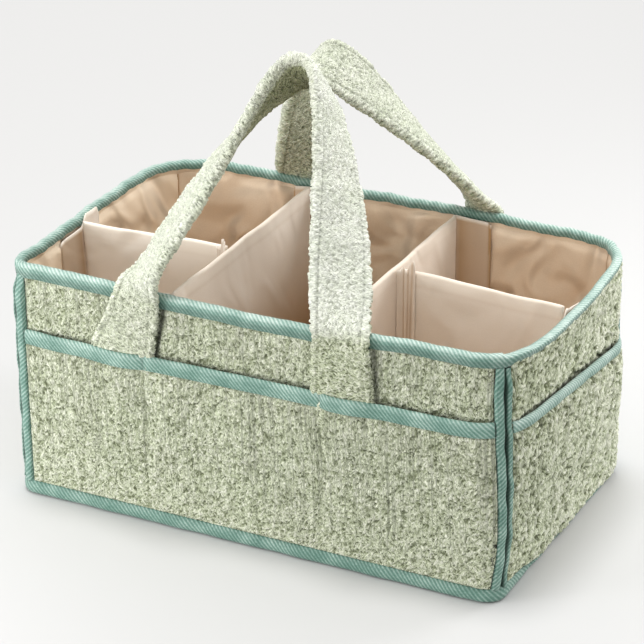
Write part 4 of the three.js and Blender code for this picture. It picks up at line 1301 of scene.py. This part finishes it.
# %% Cross dividers
FLAP_WIDTH, NARROW_FLAP, FLAP_STAND = 28 * MM, 13 * MM, 0.9 * MM
CROSS = {"left_cross_divider": (-67.5 * MM, -1), "right_cross_divider": (51.5 * MM, 1)}
CROSS_HALF = DEPTH / 2 - WALL - FLAP_GAP - FLAP_ROOM
CROSS_FLAP = ([0, 0.06, 0.9, 1], [177, 177.5, 176, 174])
CROSS_SHADE = {"front": ([0, 1], [0, 0]), "back": ([0, 0.2, 0.5, 0.9, 1], [0.4, 0.75, 0.6, 0.5, 0.85])}
for number, (name, (x, side)) in enumerate(CROSS.items()):
    # The right cross cover takes a little painted shade.
    cover = cover_piece(name + "_cloth", (x, -CROSS_HALF), (x, CROSS_HALF), (0, 0), 0.0, 0.12 * number, number + 91)
    dress(cover, divider_cloth, name, "divider_cloth", name + "_cover")
    for end, way in (("front", -1), ("back", 1)):
        place = (x, way * (CROSS_HALF + FLAP_STAND), 0)
        wide = FLAP_WIDTH if side > 0 else NARROW_FLAP
        flap = flap_piece(f"{name}_{end}_flap_cloth", CROSS_FLAP, CROSS_SHADE[end], -2 * MM, wide,
                          place, (side, 0, 0), (0, -way, 0), 0, number + 95)
        dress(flap, divider_cloth, name, "divider_cloth", f"{name}_{end}_flap")

# %% [markdown]
# The long dividers stand a little askew. On the end wall each has a flap with a wing to both sides. On the cross
# divider it has one narrow flap that bends round the corner in creases, and its top sticks up as a small ear.

# %% Long dividers
WALL_FLAP = {
    "left_long_divider": ([0, 0.04, 0.36, 0.46, 0.96, 1], [176, 181, 182, 174, 172.5, 171]),
    "right_long_divider": ([0, 0.3, 0.42, 0.5, 0.96, 1], [171, 173, 176, 168, 163, 161]),
}
WALL_SHADE = ([0, 0.44, 0.5, 0.7, 1], [0, 0.1, 0.75, 0.5, 0.6])
INNER_FLAP = {
    "left_long_divider": ([0, 0.3, 0.45, 0.55, 0.7, 0.8, 0.9, 1], [178, 178, 184, 184, 178.5, 183, 183, 178]),
    "right_long_divider": ([0, 0.04, 0.12, 0.24, 0.36, 0.44, 0.6, 1], [182, 187, 186, 179, 178.5, 181, 177.5, 176]),
}
# The third number of each reach is how dark the painted shade in the creases is.
INNER_REACH = {"left_long_divider": (8 * MM, 4 * MM, 0.15), "right_long_divider": (14 * MM, 1.2 * MM, 0.5)}
INNER_WIDTH = {"left_long_divider": 11 * MM, "right_long_divider": 15.5 * MM}
LONG = {
    "left_long_divider": ((end_face(-1, DIVIDER_LOW), -26 * MM), (-71.65 * MM, -17 * MM), ("wall", "inner")),
    "right_long_divider": ((55.65 * MM, 3 * MM), (end_face(1, DIVIDER_LOW), -5 * MM), ("inner", "wall")),
}
for number, (name, (start, stop, ends)) in enumerate(LONG.items()):
    flares = tuple(int(end == "wall") for end in ends)
    # The long covers take painted light, the left one more.
    cover = cover_piece(name + "_cloth", start, stop, flares, 0.6 if number == 0 else 0.2, 0.0, number + 101)
    length = math.dist(start, stop)
    dress(cover, divider_cloth, name, "divider_cloth", name + "_cover")
    for end, (x, y), (far_x, far_y), way in ((ends[0], start, stop, 1), (ends[1], stop, start, -1)):
        piece = f"{name}_{end}_flap_cloth"
        if end == "wall":
            flap = flap_piece(piece, WALL_FLAP[name], WALL_SHADE, -24 * MM, 30 * MM,
                              (x - way * FLAP_STAND, y, 0), (0, -1, 0), (way, 0, 0), -way, number + 105)
            width = 54 * MM
        else:
            long_way = ((far_x - x) / length, (far_y - y) / length)
            corner = (x - way * 1.2 * MM, y - DIVIDER_HALF - 0.5 * MM)
            flap = gusset_piece(piece, INNER_FLAP[name], corner, long_way, (0, -1), INNER_REACH[name], number + 105)
            width = INNER_WIDTH[name]
        dress(flap, divider_cloth, name, "divider_cloth", f"{name}_{end}_flap")

# %% [markdown]
# ## Floor
# The caddy stands on a plain pale floor that catches its soft shadow.

# %% Floor
bpy.ops.object.select_all(action="DESELECT")
bpy.ops.mesh.primitive_plane_add(size=8, location=(0, 0, 0))
floor = bpy.context.object
floor.name = "floor"
floor_paint = bpy.data.materials.new("floor_paint")
floor_paint.use_nodes = True
floor_shader = floor_paint.node_tree.nodes["Principled BSDF"]
floor_shader.inputs["Base Color"].default_value = (0.55, 0.55, 0.55, 1)
floor_shader.inputs["Roughness"].default_value = 0.9
floor_shader.inputs["Specular IOR Level"].default_value = 0.0
floor.data.materials.append(floor_paint)
